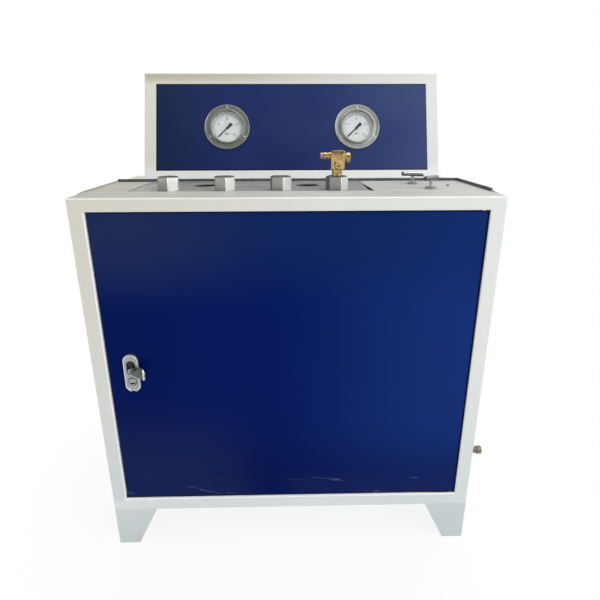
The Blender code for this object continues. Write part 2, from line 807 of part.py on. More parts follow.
def lock_body(grow, start, end, axis):
    """The block behind the lock plate, in the door's own frame, with room to grow on its sides."""
    half = LOCK_BACK_WIDTH / 2 + grow
    low = LOCK_BOTTOM + LOCK_BACK_MARGIN - grow
    high = LOCK_BOTTOM + LOCK_LENGTH - LOCK_BACK_MARGIN + grow
    x, _, z = axis.location
    return block((LOCK_X - half - x, start, low - z), (LOCK_X + half - x, end, high - z))


def lock_plate_outline():
    """A tongue with a round top, cut corners below and a small notch in its lower edge."""
    half = LOCK_WIDTH / 2
    top = LOCK_LENGTH - half
    inset = half - LOCK_CORNER
    return [
        *arc((0, top), half, 0, 180, 12),
        (-half, LOCK_CORNER),
        (-inset, 0),
        (-inset / 2, 0),
        (0, LOCK_NOTCH),
        (inset / 2, 0),
        (inset, 0),
        (half, LOCK_CORNER),
    ]


def cavity_outline():
    """The pocket that the folded handle drops into: straight sides with round ends."""
    half = CAVITY_WIDTH / 2
    top = LOCK_LENGTH - CAVITY_TOP_MARGIN - half
    low = top - CAVITY_LENGTH + CAVITY_WIDTH
    return [*arc((0, top), half, 0, 180, 8), *arc((0, low), half, 180, 360, 8)]


def make_lock(axis):
    """The plate, its rear clamp, the push button with its key plug, and the handle's spindle and cam."""
    seat = (LOCK_X - PIVOT_X, -PIVOT_Y, LOCK_BOTTOM - DOOR_BOTTOM)
    half = LOCK_BACK_WIDTH / 2
    back = DOOR_RECESS + LOCK_BACK_DEPTH
    plate = prism(lock_plate_outline(), "Y", LOCK_FACE, DOOR_RECESS - SEAM)
    rear = block(
        (-half, LOCK_FACE + SHEET, LOCK_BACK_MARGIN), (half, back, LOCK_LENGTH - LOCK_BACK_MARGIN)
    )
    cavity = prism(cavity_outline(), "Y", LOCK_FACE - OVERRUN, LOCK_FACE + CAVITY_DEPTH)
    shaft = rod(SPINDLE_RADIUS + SEAM, LOCK_FACE, back + OVERRUN, "Y", (0, 0, HUB_RISE), SMALL_SIDES)
    button_hole = rod(
        BUTTON_RADIUS + SEAM, LOCK_FACE - OVERRUN, LOCK_FACE + BUTTON_POCKET, "Y", (0, 0, BUTTON_RISE)
    )
    body = cut(join(plate, rear), cavity, shaft, button_hole)
    piece("lock_plate", body, bare_steel("lock_plate"), axis, seat)
    make_clamp(axis, seat)
    make_button(axis, seat)
    make_spindle(axis, seat)


def make_clamp(axis, seat):
    front = DOOR_RECESS + SHEET + SEAM
    outer = LOCK_BACK_WIDTH / 2 + CLAMP_MARGIN
    inner = LOCK_BACK_WIDTH / 2 + SEAM
    clamp = cut(
        block((-outer, front, LOCK_BACK_MARGIN - CLAMP_MARGIN),
              (outer, front + CLAMP_PLATE, LOCK_LENGTH - LOCK_BACK_MARGIN + CLAMP_MARGIN)),
        block((-inner, front - OVERRUN, LOCK_BACK_MARGIN - SEAM),
              (inner, front + CLAMP_PLATE + OVERRUN, LOCK_LENGTH - LOCK_BACK_MARGIN + SEAM)),
    )
    piece("lock_clamp", clamp, bare_steel("lock_clamp"), axis, seat)


def make_button(axis, seat):
    """A ring that is pressed in to free the handle, with the key plug turning inside it."""
    spot = (seat[0], seat[1], seat[2] + BUTTON_RISE)
    front = LOCK_FACE - BUTTON_PROUD
    back = front + BUTTON_DEPTH
    inner = BUTTON_RADIUS - BUTTON_WALL
    piece(
        "lock_button", ring(BUTTON_RADIUS, inner, front, back, "Y"), bare_steel("lock_button"), axis, spot
    )
    plug = rod(inner - SEAM, front + SEAM, back, "Y")
    half = KEYWAY_WIDTH / 2
    rise = KEYWAY_HEIGHT / 2
    keyway = block(
        (-half, front - OVERRUN, -KEYWAY_DROP - rise), (half, front + KEYWAY_DEPTH, rise - KEYWAY_DROP)
    )
    piece("key_plug", cut(plug, keyway), bare_steel("key_plug"), axis, spot)


def make_spindle(axis, seat):
    """The hub with its fork and pin, the shaft through the lock and the cam on its square end."""
    spot = (seat[0], seat[1], seat[2] + HUB_RISE)
    floor = LOCK_FACE + CAVITY_DEPTH - SEAM
    hub_top = LOCK_FACE - HUB_PROUD
    cam_front = FRAME_DEPTH + CAM_THICKNESS / 2
    tail = cam_front + CAM_THICKNESS + SPINDLE_TAIL
    shaft = turned(
        [
            (0, hub_top),
            (HUB_RADIUS, hub_top),
            (HUB_RADIUS, floor),
            (SPINDLE_RADIUS, floor),
            (SPINDLE_RADIUS, tail),
            (0, tail),
        ],
        "Y",
    )
    gap = FORK_GAP / 2
    ear = gap + FORK_EAR
    reach = HUB_RADIUS / 2
    top = -HANDLE_LIFT - HANDLE_THICKNESS / 2
    ears = [
        block((-reach, top, low), (reach, hub_top + OVERRUN, low + FORK_EAR)) for low in (-ear, gap)
    ]
    across = HUB_RADIUS + OVERRUN
    slot = block((-across, hub_top - OVERRUN, -gap), (across, hub_top + FORK_REACH, gap))
    pin = rod(HANDLE_PIN, -gap - SHEET, gap + SHEET, "Z", (0, -HANDLE_LIFT, 0), SMALL_SIDES)
    spindle = join(cut(join(shaft, *ears), slot), pin)
    turn_axis = empty("handle_turn_axis", spot, axis)
    piece("lock_spindle", spindle, bare_steel("lock_spindle"), turn_axis)
    half = CAM_WIDTH / 2
    outline = [
        *arc((0, 0), half, 180, 360, 8),
        (half, CAM_LENGTH - half / 2),
        (half / 2, CAM_LENGTH),
        (-half / 2, CAM_LENGTH),
        (-half, CAM_LENGTH - half / 2),
    ]
    cam = cut(
        prism(outline, "Y", cam_front, cam_front + CAM_THICKNESS),
        rod(CAM_BORE, cam_front - OVERRUN, cam_front + CAM_THICKNESS + OVERRUN, "Y", sides=SMALL_SIDES),
    )
    piece("lock_cam", cam, bare_steel("lock_cam"), turn_axis)
    make_handle(turn_axis)


def make_handle(turn_axis):
    """A lever on the fork's pin that widens to a paddle, pointing right and standing out from the plate."""
    half = HANDLE_THICKNESS / 2
    root = HANDLE_ROOT_WIDTH / 2
    tip = HANDLE_TIP_WIDTH / 2
    start = HUB_RADIUS + SEAM
    spread = math.degrees(math.asin(tip / HANDLE_TIP_RADIUS))
    end = arc((HANDLE_LENGTH - HANDLE_TIP_RADIUS, 0), HANDLE_TIP_RADIUS, -spread, spread, 8)
    outline = [(start, -root), *end, (start, root)]
    knuckle = FORK_GAP / 2 - SEAM
    neck = block((0, -half, -knuckle), (start + OVERRUN, half, knuckle))
    eye = rod(half, -knuckle, knuckle, "Z", sides=SMALL_SIDES)
    hole = rod(HANDLE_PIN + SEAM, -knuckle - OVERRUN, knuckle + OVERRUN, "Z", sides=SMALL_SIDES)
    lever = cut(join(prism(outline, "Y", -half, half), neck, eye), hole)
    spot = (0, -HANDLE_LIFT, 0)
    piece("lock_handle", lever, bare_steel("lock_handle"), turn_axis, spot, (0, 0, -HANDLE_OUT))


# Gauge box

def box_profile(inset):
    """The box's side in Y and Z from its front foot, drawn in by an inset on its front and top."""
    lean = math.tan(BOX_LEAN)
    top = BOX_SLOPE * math.cos(BOX_LEAN) - inset
    shift = inset / math.cos(BOX_LEAN)
    back = BOX_SLOPE * math.sin(BOX_LEAN) + BOX_TOP_DEPTH
    low = SEAM if inset == 0 else -OVERRUN
    reach = back if inset == 0 else back + OVERRUN
    return [(low * lean + shift, low), (reach, low), (reach, top), (top * lean + shift, top)]


def make_gauge_box(bench):
    """A folded shell open at its back and foot, with the blue panel behind its window and a rear cover."""
    foot = empty("box_foot", (BOX_SHIFT, BOX_FRONT, WORKTOP_HEIGHT), bench)
    face = empty("box_face", (0, 0, 0), foot, (-BOX_LEAN, 0, 0))
    half = BOX_WIDTH / 2
    outer = prism(box_profile(0), "X", -half, half)
    inner = prism(box_profile(SHEET), "X", SHEET - half, half - SHEET)
    window = block(
        (BORDER_SIDE - half, -OVERRUN, BORDER_BOTTOM),
        (half - BORDER_SIDE, SHEET + OVERRUN, BOX_SLOPE - BORDER_TOP),
    )
    window.transform(Matrix.Rotation(-BOX_LEAN, 4, "X"))
    piece("gauge_box_shell", cut(outer, inner, window), white_paint("gauge_box_shell"), foot)
    panel = block(
        (BORDER_SIDE - PANEL_LAP - half, PANEL_FACE, BORDER_BOTTOM - PANEL_LAP),
        (half - BORDER_SIDE + PANEL_LAP, PANEL_FACE + SHEET, BOX_SLOPE - BORDER_TOP + PANEL_LAP),
    )
    reach = (PANEL_FACE - OVERRUN, PANEL_FACE + SHEET + OVERRUN)
    holes = [
        rod(CASE_RADIUS + CASE_CLEARANCE, *reach, "Y", (side * GAUGE_SPACING / 2, 0, GAUGE_RISE), FINE_SIDES)
        for side in (-1, 1)
    ]
    piece("gauge_panel", cut(panel, *holes), blue_paint("gauge_panel"), face)
    back = BOX_SLOPE * math.sin(BOX_LEAN) + BOX_TOP_DEPTH
    side = half - SHEET - SEAM
    cover = block((-side, back - SHEET, SEAM), (side, back, BOX_SLOPE * math.cos(BOX_LEAN) - SHEET - SEAM))
    piece("gauge_box_cover", cover, white_paint("gauge_box_cover"), foot)
    return face


def gauge_places():
    return [BOX_SHIFT + side * GAUGE_SPACING / 2 for side in (-1, 1)]


def case_profile():
    """The gauge case from its rear hole round the outside, the flange and the bezel, and back inside."""
    inner = CASE_RADIUS - CASE_WALL
    flange_back = PANEL_FACE - SEAM
    flange_front = flange_back - FLANGE_PLATE
    bezel = flange_front - BEZEL_PROUD
    return [
        (STEM_RADIUS + SEAM, CASE_DEPTH),
        (CASE_RADIUS, CASE_DEPTH),
        (CASE_RADIUS, flange_back),
        (FLANGE_RADIUS, flange_back),
        (FLANGE_RADIUS, flange_front),
        (CASE_RADIUS + BEZEL_LIP, flange_front),
        (CASE_RADIUS + BEZEL_LIP, bezel + BEZEL_LIP),
        (CASE_RADIUS, bezel),
        (inner - BEZEL_LIP, bezel),
        (inner - BEZEL_LIP, bezel + BEZEL_FRONT),
        (inner, bezel + BEZEL_FRONT),
        (inner, CASE_DEPTH - CASE_WALL),
        (STEM_RADIUS + SEAM, CASE_DEPTH - CASE_WALL),
    ]


def pointer_mesh():
    """A flat pointer up its own +Z: a thin blade, a round hub and a flared tail."""
    blade = [
        (-POINTER_TIP_WIDTH / 2, POINTER_TIP),
        (-POINTER_WAIST / 2, 0),
        (-POINTER_TAIL_WIDTH / 2, -POINTER_TAIL),
        (POINTER_TAIL_WIDTH / 2, -POINTER_TAIL),
        (POINTER_WAIST / 2, 0),
        (POINTER_TIP_WIDTH / 2, POINTER_TIP),
    ]
    hub = rod(POINTER_HUB, -POINTER_SHEET, POINTER_SHEET, "Y", sides=SMALL_SIDES)
    return join(prism(blade, "Y", -POINTER_SHEET / 2, POINTER_SHEET / 2), hub)


def make_gauge(name, side, face):
    """One gauge on the leaning face. The pointer's origin is on the arbor's axis."""
    centre = empty(f"{name}_centre", (side * GAUGE_SPACING / 2, 0, GAUGE_RISE), face)
    bezel = PANEL_FACE - SEAM - FLANGE_PLATE - BEZEL_PROUD
    inner = CASE_RADIUS - CASE_WALL - SEAM
    piece(f"{name}_case", turned(case_profile(), "Y", sides=FINE_SIDES), bare_steel(f"{name}_case"), centre)
    glass = finish(f"{name}_glass", (0.9, 0.92, 0.92), 0.05, 0, 0.2)
    pane = bezel + BEZEL_FRONT + SEAM
    piece(f"{name}_window", rod(inner, pane, pane + WINDOW_GLASS, "Y", sides=FINE_SIDES), glass, centre)
    white = finish(f"{name}_dial_white", (0.82, 0.83, 0.82), 0.5, 0)
    dial = ring(inner, ARBOR_HOLE, DIAL_SETBACK, DIAL_SETBACK + DIAL_SHEET, "Y", sides=FINE_SIDES)
    piece(f"{name}_dial", dial, white, centre)
    pointer_y = DIAL_SETBACK - POINTER_RISE
    arbor_front = pointer_y + POINTER_SHEET + SEAM
    body_front = DIAL_SETBACK + DIAL_SHEET + SEAM
    body_back = CASE_DEPTH - CASE_WALL - SEAM
    movement = turned(
        [
            (0, arbor_front),
            (ARBOR_RADIUS, arbor_front),
            (ARBOR_RADIUS, body_front),
            (MOVEMENT_RADIUS, body_front),
            (MOVEMENT_RADIUS, body_back),
            (STEM_RADIUS, body_back),
            (STEM_RADIUS, CASE_DEPTH + STEM_LENGTH),
            (0, CASE_DEPTH + STEM_LENGTH),
        ],
        "Y",
        sides=SMALL_SIDES,
    )
    piece(f"{name}_movement", movement, brass(f"{name}_movement"), centre)
    black = finish(f"{name}_pointer_black", (0.02, 0.02, 0.022), 0.45, 0)
    place = (0, pointer_y, 0)
    piece(f"{name}_pointer", pointer_mesh(), black, centre, place, (0, POINTER_ZERO, 0))


# Shut-off and vent valves

def make_valve(name, x, y, turn, bench):
    """A valve block under the worktop, its panel nut above, and a stem with a loose-fitted cross bar."""
    base = empty(f"{name}_axis", (x, y, WORKTOP_HEIGHT), bench)
    half = VALVE_BODY_SIDE / 2
    top = -SHEET - SEAM
    body = join(
        block((-half, -half, top - VALVE_BODY_HEIGHT), (half, half, top)),
        rod(VALVE_NECK, top - OVERRUN, VALVE_NECK_RISE, "Z"),
    )
    crown = VALVE_NECK_RISE
    bore = rod(VALVE_BORE, crown - VALVE_BORE_DEPTH, crown + OVERRUN, "Z", sides=SMALL_SIDES)
    piece(f"{name}_valve_body", cut(body, bore), brass(f"{name}_valve_body"), base)
    washer_top = SEAM + NUT_WASHER_THICKNESS
    nut = join(
        rod(NUT_WASHER, SEAM, washer_top, "Z"),
        prism(hexagon(NUT_FLATS, math.radians(turn)), "Z", SEAM + SHEET / 2, SEAM + NUT_HEIGHT),
    )
    nut = cut(nut, rod(VALVE_NECK + SEAM, -OVERRUN, SEAM + NUT_HEIGHT + OVERRUN, "Z"))
    piece(f"{name}_panel_nut", nut, bare_steel(f"{name}_panel_nut"), base)
    shoulder = BAR_RISE - BAR_RADIUS - SEAM
    stem = turned(
        [
            (0, -STEM_FOOT),
            (STEM_THICK, -STEM_FOOT),
            (STEM_THICK, shoulder),
            (STEM_TENON, shoulder),
            (STEM_TENON, shoulder + STEM_TENON_LENGTH),
            (0, shoulder + STEM_TENON_LENGTH),
        ],
        "Z",
        sides=SMALL_SIDES,
    )
    piece(f"{name}_stem", stem, bare_steel(f"{name}_stem"), base)
    end = BAR_LENGTH / 2
    bar = turned(
        [
            (0, -end),
            (BAR_RADIUS - BAR_CHAMFER, -end),
            (BAR_RADIUS, BAR_CHAMFER - end),
            (BAR_RADIUS, end - BAR_CHAMFER),
            (BAR_RADIUS - BAR_CHAMFER, end),
            (0, end),
        ],
        "X",
        (0, 0, BAR_RISE),
        SMALL_SIDES,
    )
    tenon = shoulder + STEM_TENON_LENGTH + SEAM
    bar = cut(bar, rod(STEM_TENON + SEAM, shoulder - OVERRUN, tenon, "Z", sides=SMALL_SIDES))
    piece(f"{name}_t_bar", bar, bare_steel(f"{name}_t_bar"), base, (0, 0, 0), (0, 0, math.radians(turn)))


# Brass valve under test

def make_sample_valve(bench):
    """A small tee valve whose tail stands in the last socket's bore."""
    base = empty("sample_valve_axis", (STATION_PLACES[-1], STATION_Y, SOCKET_TOP + SEAM), bench)
    left = SAMPLE_BODY_SHIFT - SAMPLE_BODY_WIDTH / 2
    right = SAMPLE_BODY_SHIFT + SAMPLE_BODY_WIDTH / 2
    depth = SAMPLE_BODY_DEPTH / 2
    top = SAMPLE_NECK_HEIGHT + SAMPLE_BODY_HEIGHT
    shoulder = top - SAMPLE_CHAMFER
    outline = [
        (left, SAMPLE_NECK_HEIGHT),
        (right, SAMPLE_NECK_HEIGHT),
        (right, shoulder),
        (right - SAMPLE_CHAMFER, top),
        (left + SAMPLE_CHAMFER, top),
        (left, shoulder),
    ]
    tail = turned(
        [
            (0, -SAMPLE_TAIL_LENGTH),
            (SAMPLE_TAIL, -SAMPLE_TAIL_LENGTH),
            (SAMPLE_TAIL, 0),
            (SAMPLE_NECK, 0),
            (SAMPLE_NECK, SAMPLE_NECK_HEIGHT + OVERRUN),
            (0, SAMPLE_NECK_HEIGHT + OVERRUN),
        ],
        "Z",
    )
    outlet_end = right + SAMPLE_OUTLET_LENGTH
    outlet = rod(SAMPLE_OUTLET_RADIUS, right - OVERRUN, outlet_end, "X", (0, 0, SAMPLE_OUTLET_RISE))
    boss = rod(
        SAMPLE_BOSS_RADIUS, -depth - SAMPLE_BOSS_LENGTH, OVERRUN - depth, "Y",
        (SAMPLE_BODY_SHIFT + SAMPLE_BOSS_SHIFT, 0, SAMPLE_BOSS_RISE), SMALL_SIDES,
    )
    body = join(prism(outline, "Y", -depth, depth), tail, outlet, boss)
    mouth = rod(SAMPLE_OUTLET_BORE, right, outlet_end + OVERRUN, "X", (0, 0, SAMPLE_OUTLET_RISE), SMALL_SIDES)
    socket = rod(
        SAMPLE_SPINDLE_RADIUS + SEAM, left - OVERRUN, left + SAMPLE_SPINDLE_DEPTH + SEAM, "X",
        (0, 0, SAMPLE_ARM_RISE), SMALL_SIDES,
    )
    piece("sample_valve_body", cut(body, socket, mouth), brass("sample_valve_body"), base)
    gland_end = left - SEAM - SAMPLE_GLAND_LENGTH
    gland = ring(SAMPLE_GLAND_RADIUS, SAMPLE_SPINDLE_RADIUS + SEAM, gland_end, left - SEAM, "X")
    spot = (0, 0, SAMPLE_ARM_RISE)
    piece("sample_valve_gland", gland, brass("sample_valve_gland"), base, spot)
    head = gland_end - SEAM
    spindle = turned(
        [
            (0, head - SAMPLE_SPINDLE_HEAD_LENGTH),
            (SAMPLE_SPINDLE_HEAD, head - SAMPLE_SPINDLE_HEAD_LENGTH),
            (SAMPLE_SPINDLE_HEAD, head),
            (SAMPLE_SPINDLE_RADIUS, head),
            (SAMPLE_SPINDLE_RADIUS, left + SAMPLE_SPINDLE_DEPTH),
            (0, left + SAMPLE_SPINDLE_DEPTH),
        ],
        "X",
        sides=SMALL_SIDES,
    )
    piece("sample_valve_spindle", spindle, copper("sample_valve_spindle"), base, spot)


# Inlet and tubes

def make_inlet(bench):
    """The air inlet through the right wall: a hexagon and a plug outside, a tail inside."""
    base = empty("inlet_axis", (HALF_WIDTH, INLET_Y, INLET_Z), bench)
    body = turned(
        [
            (INLET_BORE, -SHEET - INLET_TAIL),
            (INLET_THREAD, -SHEET - INLET_TAIL),
            (INLET_THREAD, SEAM + INLET_NUT / 2),
            (INLET_PLUG, SEAM + INLET_NUT),
            (INLET_PLUG, INLET_REACH - INLET_COLLAR_LENGTH),
            (INLET_COLLAR, INLET_REACH - INLET_COLLAR_LENGTH),
            (INLET_COLLAR, INLET_REACH),
            (INLET_BORE, INLET_REACH),
        ],
        "X",
    )
    nut = prism(hexagon(INLET_FLATS, math.pi / 2), "X", SEAM, SEAM + INLET_NUT)
    hole = rod(INLET_BORE + SEAM, -OVERRUN, SEAM + INLET_NUT + OVERRUN, "X", sides=ROUND_SIDES)
    piece("inlet_fitting", join(cut(nut, hole), body), brass("inlet_fitting"), base)


def make_tubes(bench):
    """Copper tubes: inlet to shut-off valve, shut-off valve to manifold, and one to each gauge."""
    _, valve_x, valve_y, _ = VALVE_PLACES[0]
    half = VALVE_BODY_SIDE / 2
    body_top = WORKTOP_HEIGHT - SHEET - SEAM
    body_foot = body_top - VALVE_BODY_HEIGHT
    body_middle = body_top - VALVE_BODY_HEIGHT / 2
    start = HALF_WIDTH - SHEET - INLET_TAIL - SEAM
    supply = [
        (start, INLET_Y, INLET_Z),
        (start - TUBE_BEND / 2, INLET_Y, INLET_Z),
        (start - TUBE_BEND, INLET_Y + TUBE_BEND / 2, INLET_Z + TUBE_BEND / 2),
        (start - TUBE_BEND, INLET_Y + TUBE_BEND, INLET_Z + 2 * TUBE_BEND),
        (start - TUBE_BEND, INLET_Y + TUBE_BEND, body_foot - 6 * TUBE_BEND),
        (start - 2 * TUBE_BEND, valve_y - TUBE_BEND, body_foot - 3 * TUBE_BEND),
        (valve_x, valve_y, body_foot - TUBE_BEND),
        (valve_x, valve_y, body_foot - SEAM),
    ]
    tube("supply_tube", supply, copper("supply_tube"), bench)
    manifold_back = STATION_Y + MANIFOLD_SIDE / 2 + SEAM
    valve_left = valve_x - half - SEAM
    feed_x = valve_left - 2 * TUBE_BEND
    feed = [
        (valve_left, valve_y, body_middle),
        (valve_left - TUBE_BEND / 2, valve_y, body_middle),
        (feed_x + TUBE_BEND / 2, valve_y - TUBE_BEND / 6, body_middle),
        (feed_x, valve_y - TUBE_BEND, MANIFOLD_MIDDLE),
        (feed_x, manifold_back + TUBE_BEND / 2, MANIFOLD_MIDDLE),
        (feed_x, manifold_back, MANIFOLD_MIDDLE),
    ]
    tube("feed_tube", feed, copper("feed_tube"), bench)
    valve_back = valve_y + half + SEAM
    targets = (
        ("gauge_left_tube", (gauge_places()[0], manifold_back, MANIFOLD_MIDDLE)),
        ("gauge_right_tube", (valve_x, valve_back, body_middle)),
    )
    for x, (name, target) in zip(gauge_places(), targets):
        tube(name, gauge_route(x, target), copper(name), bench)


def gauge_route(x, target):
    """From a gauge's stem down through the rear deck, then forward to its target."""
    along = Vector((0, math.cos(BOX_LEAN), -math.sin(BOX_LEAN)))
    up = Vector((0, math.sin(BOX_LEAN), math.cos(BOX_LEAN)))
    foot = Vector((x, BOX_FRONT, WORKTOP_HEIGHT))
    stem = foot + up * GAUGE_RISE + along * (CASE_DEPTH + STEM_LENGTH + SEAM)
    end = Vector(target)
    return [
        stem,
        stem + along * (TUBE_BEND / 4),
        (x, TUBE_DROP_Y, stem.z - TUBE_BEND),
        (x, TUBE_DROP_Y, WORKTOP_HEIGHT + TUBE_BEND),
        (x, TUBE_DROP_Y, WORKTOP_HEIGHT - TUBE_BEND),
        (x, TUBE_DROP_Y - TUBE_BEND, TUBE_RUN_Z),
        ((x + end.x) / 2, (TUBE_DROP_Y + end.y) / 2, TUBE_RUN_Z),
        (end.x, end.y + 2 * TUBE_BEND, TUBE_RUN_Z),
        (end.x, end.y + TUBE_BEND / 2, end.z),
        end,
    ]


def make_bench():
    clear_scene()
    bench = empty("bench", (-INLET_REACH / 2, (FRONT_REACH - CABINET_DEPTH) / 2, 0))
    make_front_frame(bench)
    make_walls(bench)
    make_feet(bench)
    make_worktop(bench)
    make_rear_deck(bench)
    make_edging(bench)
    make_station_plate(bench)
    make_sockets(bench)
    make_manifold(bench)
    make_lock(make_door(bench))
    make_pivot_pins(bench)
    face = make_gauge_box(bench)
    make_gauge("gauge_left", -1, face)
    make_gauge("gauge_right", 1, face)
    for name, x, y, turn in VALVE_PLACES:
        make_valve(name, x, y, turn, bench)
    make_sample_valve(bench)
    make_inlet(bench)
    make_tubes(bench)


make_bench()
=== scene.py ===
"""The valve test bench, dressed: folded enamelled sheet, gauges, sockets, valves and the door lock.

Lengths are in metres, but the tables that profile and turned read are in millimetres."""
import math

import bmesh
import bpy
import numpy as np
from mathutils import Matrix, Vector


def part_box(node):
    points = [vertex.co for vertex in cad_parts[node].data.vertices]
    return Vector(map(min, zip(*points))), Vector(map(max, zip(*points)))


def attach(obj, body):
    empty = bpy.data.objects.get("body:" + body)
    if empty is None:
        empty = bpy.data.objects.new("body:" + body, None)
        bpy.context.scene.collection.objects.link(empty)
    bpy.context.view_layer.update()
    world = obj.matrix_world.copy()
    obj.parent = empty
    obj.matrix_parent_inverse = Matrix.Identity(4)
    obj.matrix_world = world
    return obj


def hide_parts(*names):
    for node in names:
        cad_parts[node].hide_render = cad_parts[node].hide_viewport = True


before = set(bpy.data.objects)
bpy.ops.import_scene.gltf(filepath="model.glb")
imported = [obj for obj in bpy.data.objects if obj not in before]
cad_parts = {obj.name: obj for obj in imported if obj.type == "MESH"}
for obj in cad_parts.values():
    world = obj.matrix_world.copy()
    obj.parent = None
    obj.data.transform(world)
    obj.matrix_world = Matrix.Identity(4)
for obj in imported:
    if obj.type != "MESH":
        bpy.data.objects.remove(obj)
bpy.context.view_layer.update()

# Where the bench stands: the middle of the cabinet's front edge, at floor level
FRAME_LOW, FRAME_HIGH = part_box("front_frame")
BENCH = np.array([(FRAME_LOW[0] + FRAME_HIGH[0]) / 2, FRAME_LOW[1], 0.0])
MIDDLE, FRONT = BENCH[:2]

# Sheet metal
SHEET = 0.0015
BEND = 0.0026
LIP = 0.0004
SEAM = 0.0003
HALF = 0.500
DEPTH = 0.560
FOOT = 0.120
TOP = 0.990
UNDER_TOP = 0.9882
FRAME_DEPTH = 0.030
FLANGE = 0.020
OPENING = (-0.464, 0.464, 0.157, 0.959)
DOOR = (-0.461, 0.461, 0.160, 0.956)
DOOR_FACE = 0.006
DOOR_RETURN = 0.020
DOOR_BEND = 0.0022
STIFFENER = 0.0144
RIVETS_X = (-0.0217, 0.0217)
RIVETS_Z = (0.230, 0.560, 0.880)
FOOT_INNER = 0.3825
TUBE_HOLES_Y = 0.510
TUBE_HOLE = 0.008

# Worktop
WORKTOP_DEPTH = 0.360
TOP_BEND = 0.003
UPSTAND = TOP + 0.004
UPSTAND_STARTS = 0.050
UPSTAND_LEVEL = 0.094
TOP_PLUG = (0.4305, 0.2255, TOP + 0.0001)
CUTOUT = (-0.400, 0.212, 0.12204, 0.350)
EDGING_WALL = 0.0017
EDGING_STARTS = 0.098
PLATE_THICK = 0.003
PLATE_LAP = 0.008
STATION_Y = 0.16308
STATIONS = (-0.306, -0.163, -0.020, 0.123)
STATION_TURNS = (6, 10, 11, 17)
STATION_HOLE = 0.0153
DRAIN_Y = 0.27396
DRAINS = (-0.230, 0.052)
DRAIN_RADIUS = 0.0325
SOCKET_FLATS = 0.050
SOCKET_TALL = 0.034
SOCKET_TOP = 1.0225
THREAD_PITCH = 0.0018

# Lock
LOCK_X = -0.402
LOCK_LOW = 0.502
LOCK_LONG = 0.103
LOCK_WIDE = 0.038
LOCK_FRONT = -0.003
LOCK_FACE = 0.0087
LOCK_WINDOW = 0.0143
LOCK_INSET = 0.0077
BUTTON_HOLE = 0.0112
KEY_PLUG = 0.0087
HUB_Z = 0.5585
BUTTON_Z = 0.5295
PIN_OUT = 0.006
LEVER_TURN = math.radians(30)
LEVER_WALL = 0.0013

# Gauge box
LEAN = math.radians(21.8)
BOX_HALF = 0.438
BOX_X = 0.012
BOX_Y = 0.370
SLOPE = 0.325
BOX_BEND = 0.003
BOX_BACK = SLOPE * math.sin(LEAN) + 0.050
BOX_HIGH = SLOPE * math.cos(LEAN)
WINDOW = (-0.404, 0.404, 0.0315, 0.2935)
PANEL_BEHIND = 0.0018
PANEL_LAP = 0.012
COVER_SCREWS_X = (-0.425, -0.14, 0.14, 0.425)
COVER_SCREWS_Z = (0.022, 0.278)
GAUGE_V = 0.1625
GAUGE_X = (-0.194, 0.194)
GAUGE_HOLE = 0.0516
FLANGE_SCREWS = 0.0590
ACROSS = np.array([1.0, 0.0, 0.0])
UP_SLOPE = np.array([0.0, math.sin(LEAN), math.cos(LEAN)])
INTO_BOX = np.array([0.0, math.cos(LEAN), -math.sin(LEAN)])
BOX_FOOT = np.array([BOX_X, BOX_Y, TOP])

# The dial's scale, its angles in degrees clockwise from straight up
ZERO = 225
SWEEP = 270
MARKS = 33
DIAL_FACE = 0.00794
SCALE_RADIUS = 0.0412
NUMBER_RADIUS = 0.0272
UNIT_BELOW = 0.0175

# Valves: name, place, and how many degrees the cross bar is turned
VALVES = (("shutoff", 0.344, 0.26892, -28), ("vent", 0.3645, 0.15804, 46))
BAR_RISE = 0.027
BAR_REACH = 0.031
VALVE_HOLE = 0.0093
PANEL_NUT_FLATS = 0.024
INLET = np.array([HALF, 0.055, 0.2625])
INLET_FLATS = 0.027

X = np.array([1.0, 0.0, 0.0])
Y = np.array([0.0, 1.0, 0.0])
Z = np.array([0.0, 0.0, 1.0])


# Surfaces

def skin(points, wrap_rows=False, wrap_columns=True):
    """A grid of points, shaped rows by columns by 3, as a surface of four-sided faces between neighbours."""
    points = np.asarray(points, float)
    rows, columns = points.shape[:2]
    r = np.arange(rows if wrap_rows else rows - 1)[:, None]
    c = np.arange(columns if wrap_columns else columns - 1)[None, :]
    r2, c2 = (r + 1) % rows, (c + 1) % columns
    quads = np.stack([r * columns + c, r * columns + c2, r2 * columns + c2, r2 * columns + c], -1)
    return points.reshape(-1, 3), quads.reshape(-1, 4).tolist()


def capped(rows):
    """A tube of rows of points, closed at each end by one flat face."""
    points, faces = skin(rows)
    count = rows.shape[1]
    return points, faces + [list(range(count)), list(range(len(points) - count, len(points)))]


def rounded(corners, radius, steps=4, closed=True):
    """A polyline whose corners become arcs: at each corner, points go round a circle that touches both sides. An arc
    takes less than half of a side, and a corner that is nearly straight stays a point."""
    straight, half = math.pi - 0.02, 0.49
    corners = np.asarray(corners, float)
    count = len(corners)
    radii = np.broadcast_to(np.asarray(radius, float), (count,))
    out = []
    for i, here in enumerate(corners):
        back = corners[i - 1] - here
        ahead = corners[(i + 1) % count] - here
        lb, la = np.linalg.norm(back), np.linalg.norm(ahead)
        back, ahead = back / lb, ahead / la
        turn = math.acos(float(np.clip(back @ ahead, -1, 1)))
        if radii[i] <= 0 or (not closed and i in (0, count - 1)) or turn > straight:
            out.append(here[None])
            continue
        reach = min(radii[i] / math.tan(turn / 2), half * lb, half * la)
        r = reach * math.tan(turn / 2)
        middle = here + (back + ahead) / np.linalg.norm(back + ahead) * r / math.sin(turn / 2)
        start = here + back * reach - middle
        end = here + ahead * reach - middle
        sweep = math.pi - turn
        t = np.linspace(0, 1, steps + 1)[:, None]
        out.append(middle + (np.sin((1 - t) * sweep) * start + np.sin(t * sweep) * end) / math.sin(sweep))
    return np.concatenate(out)


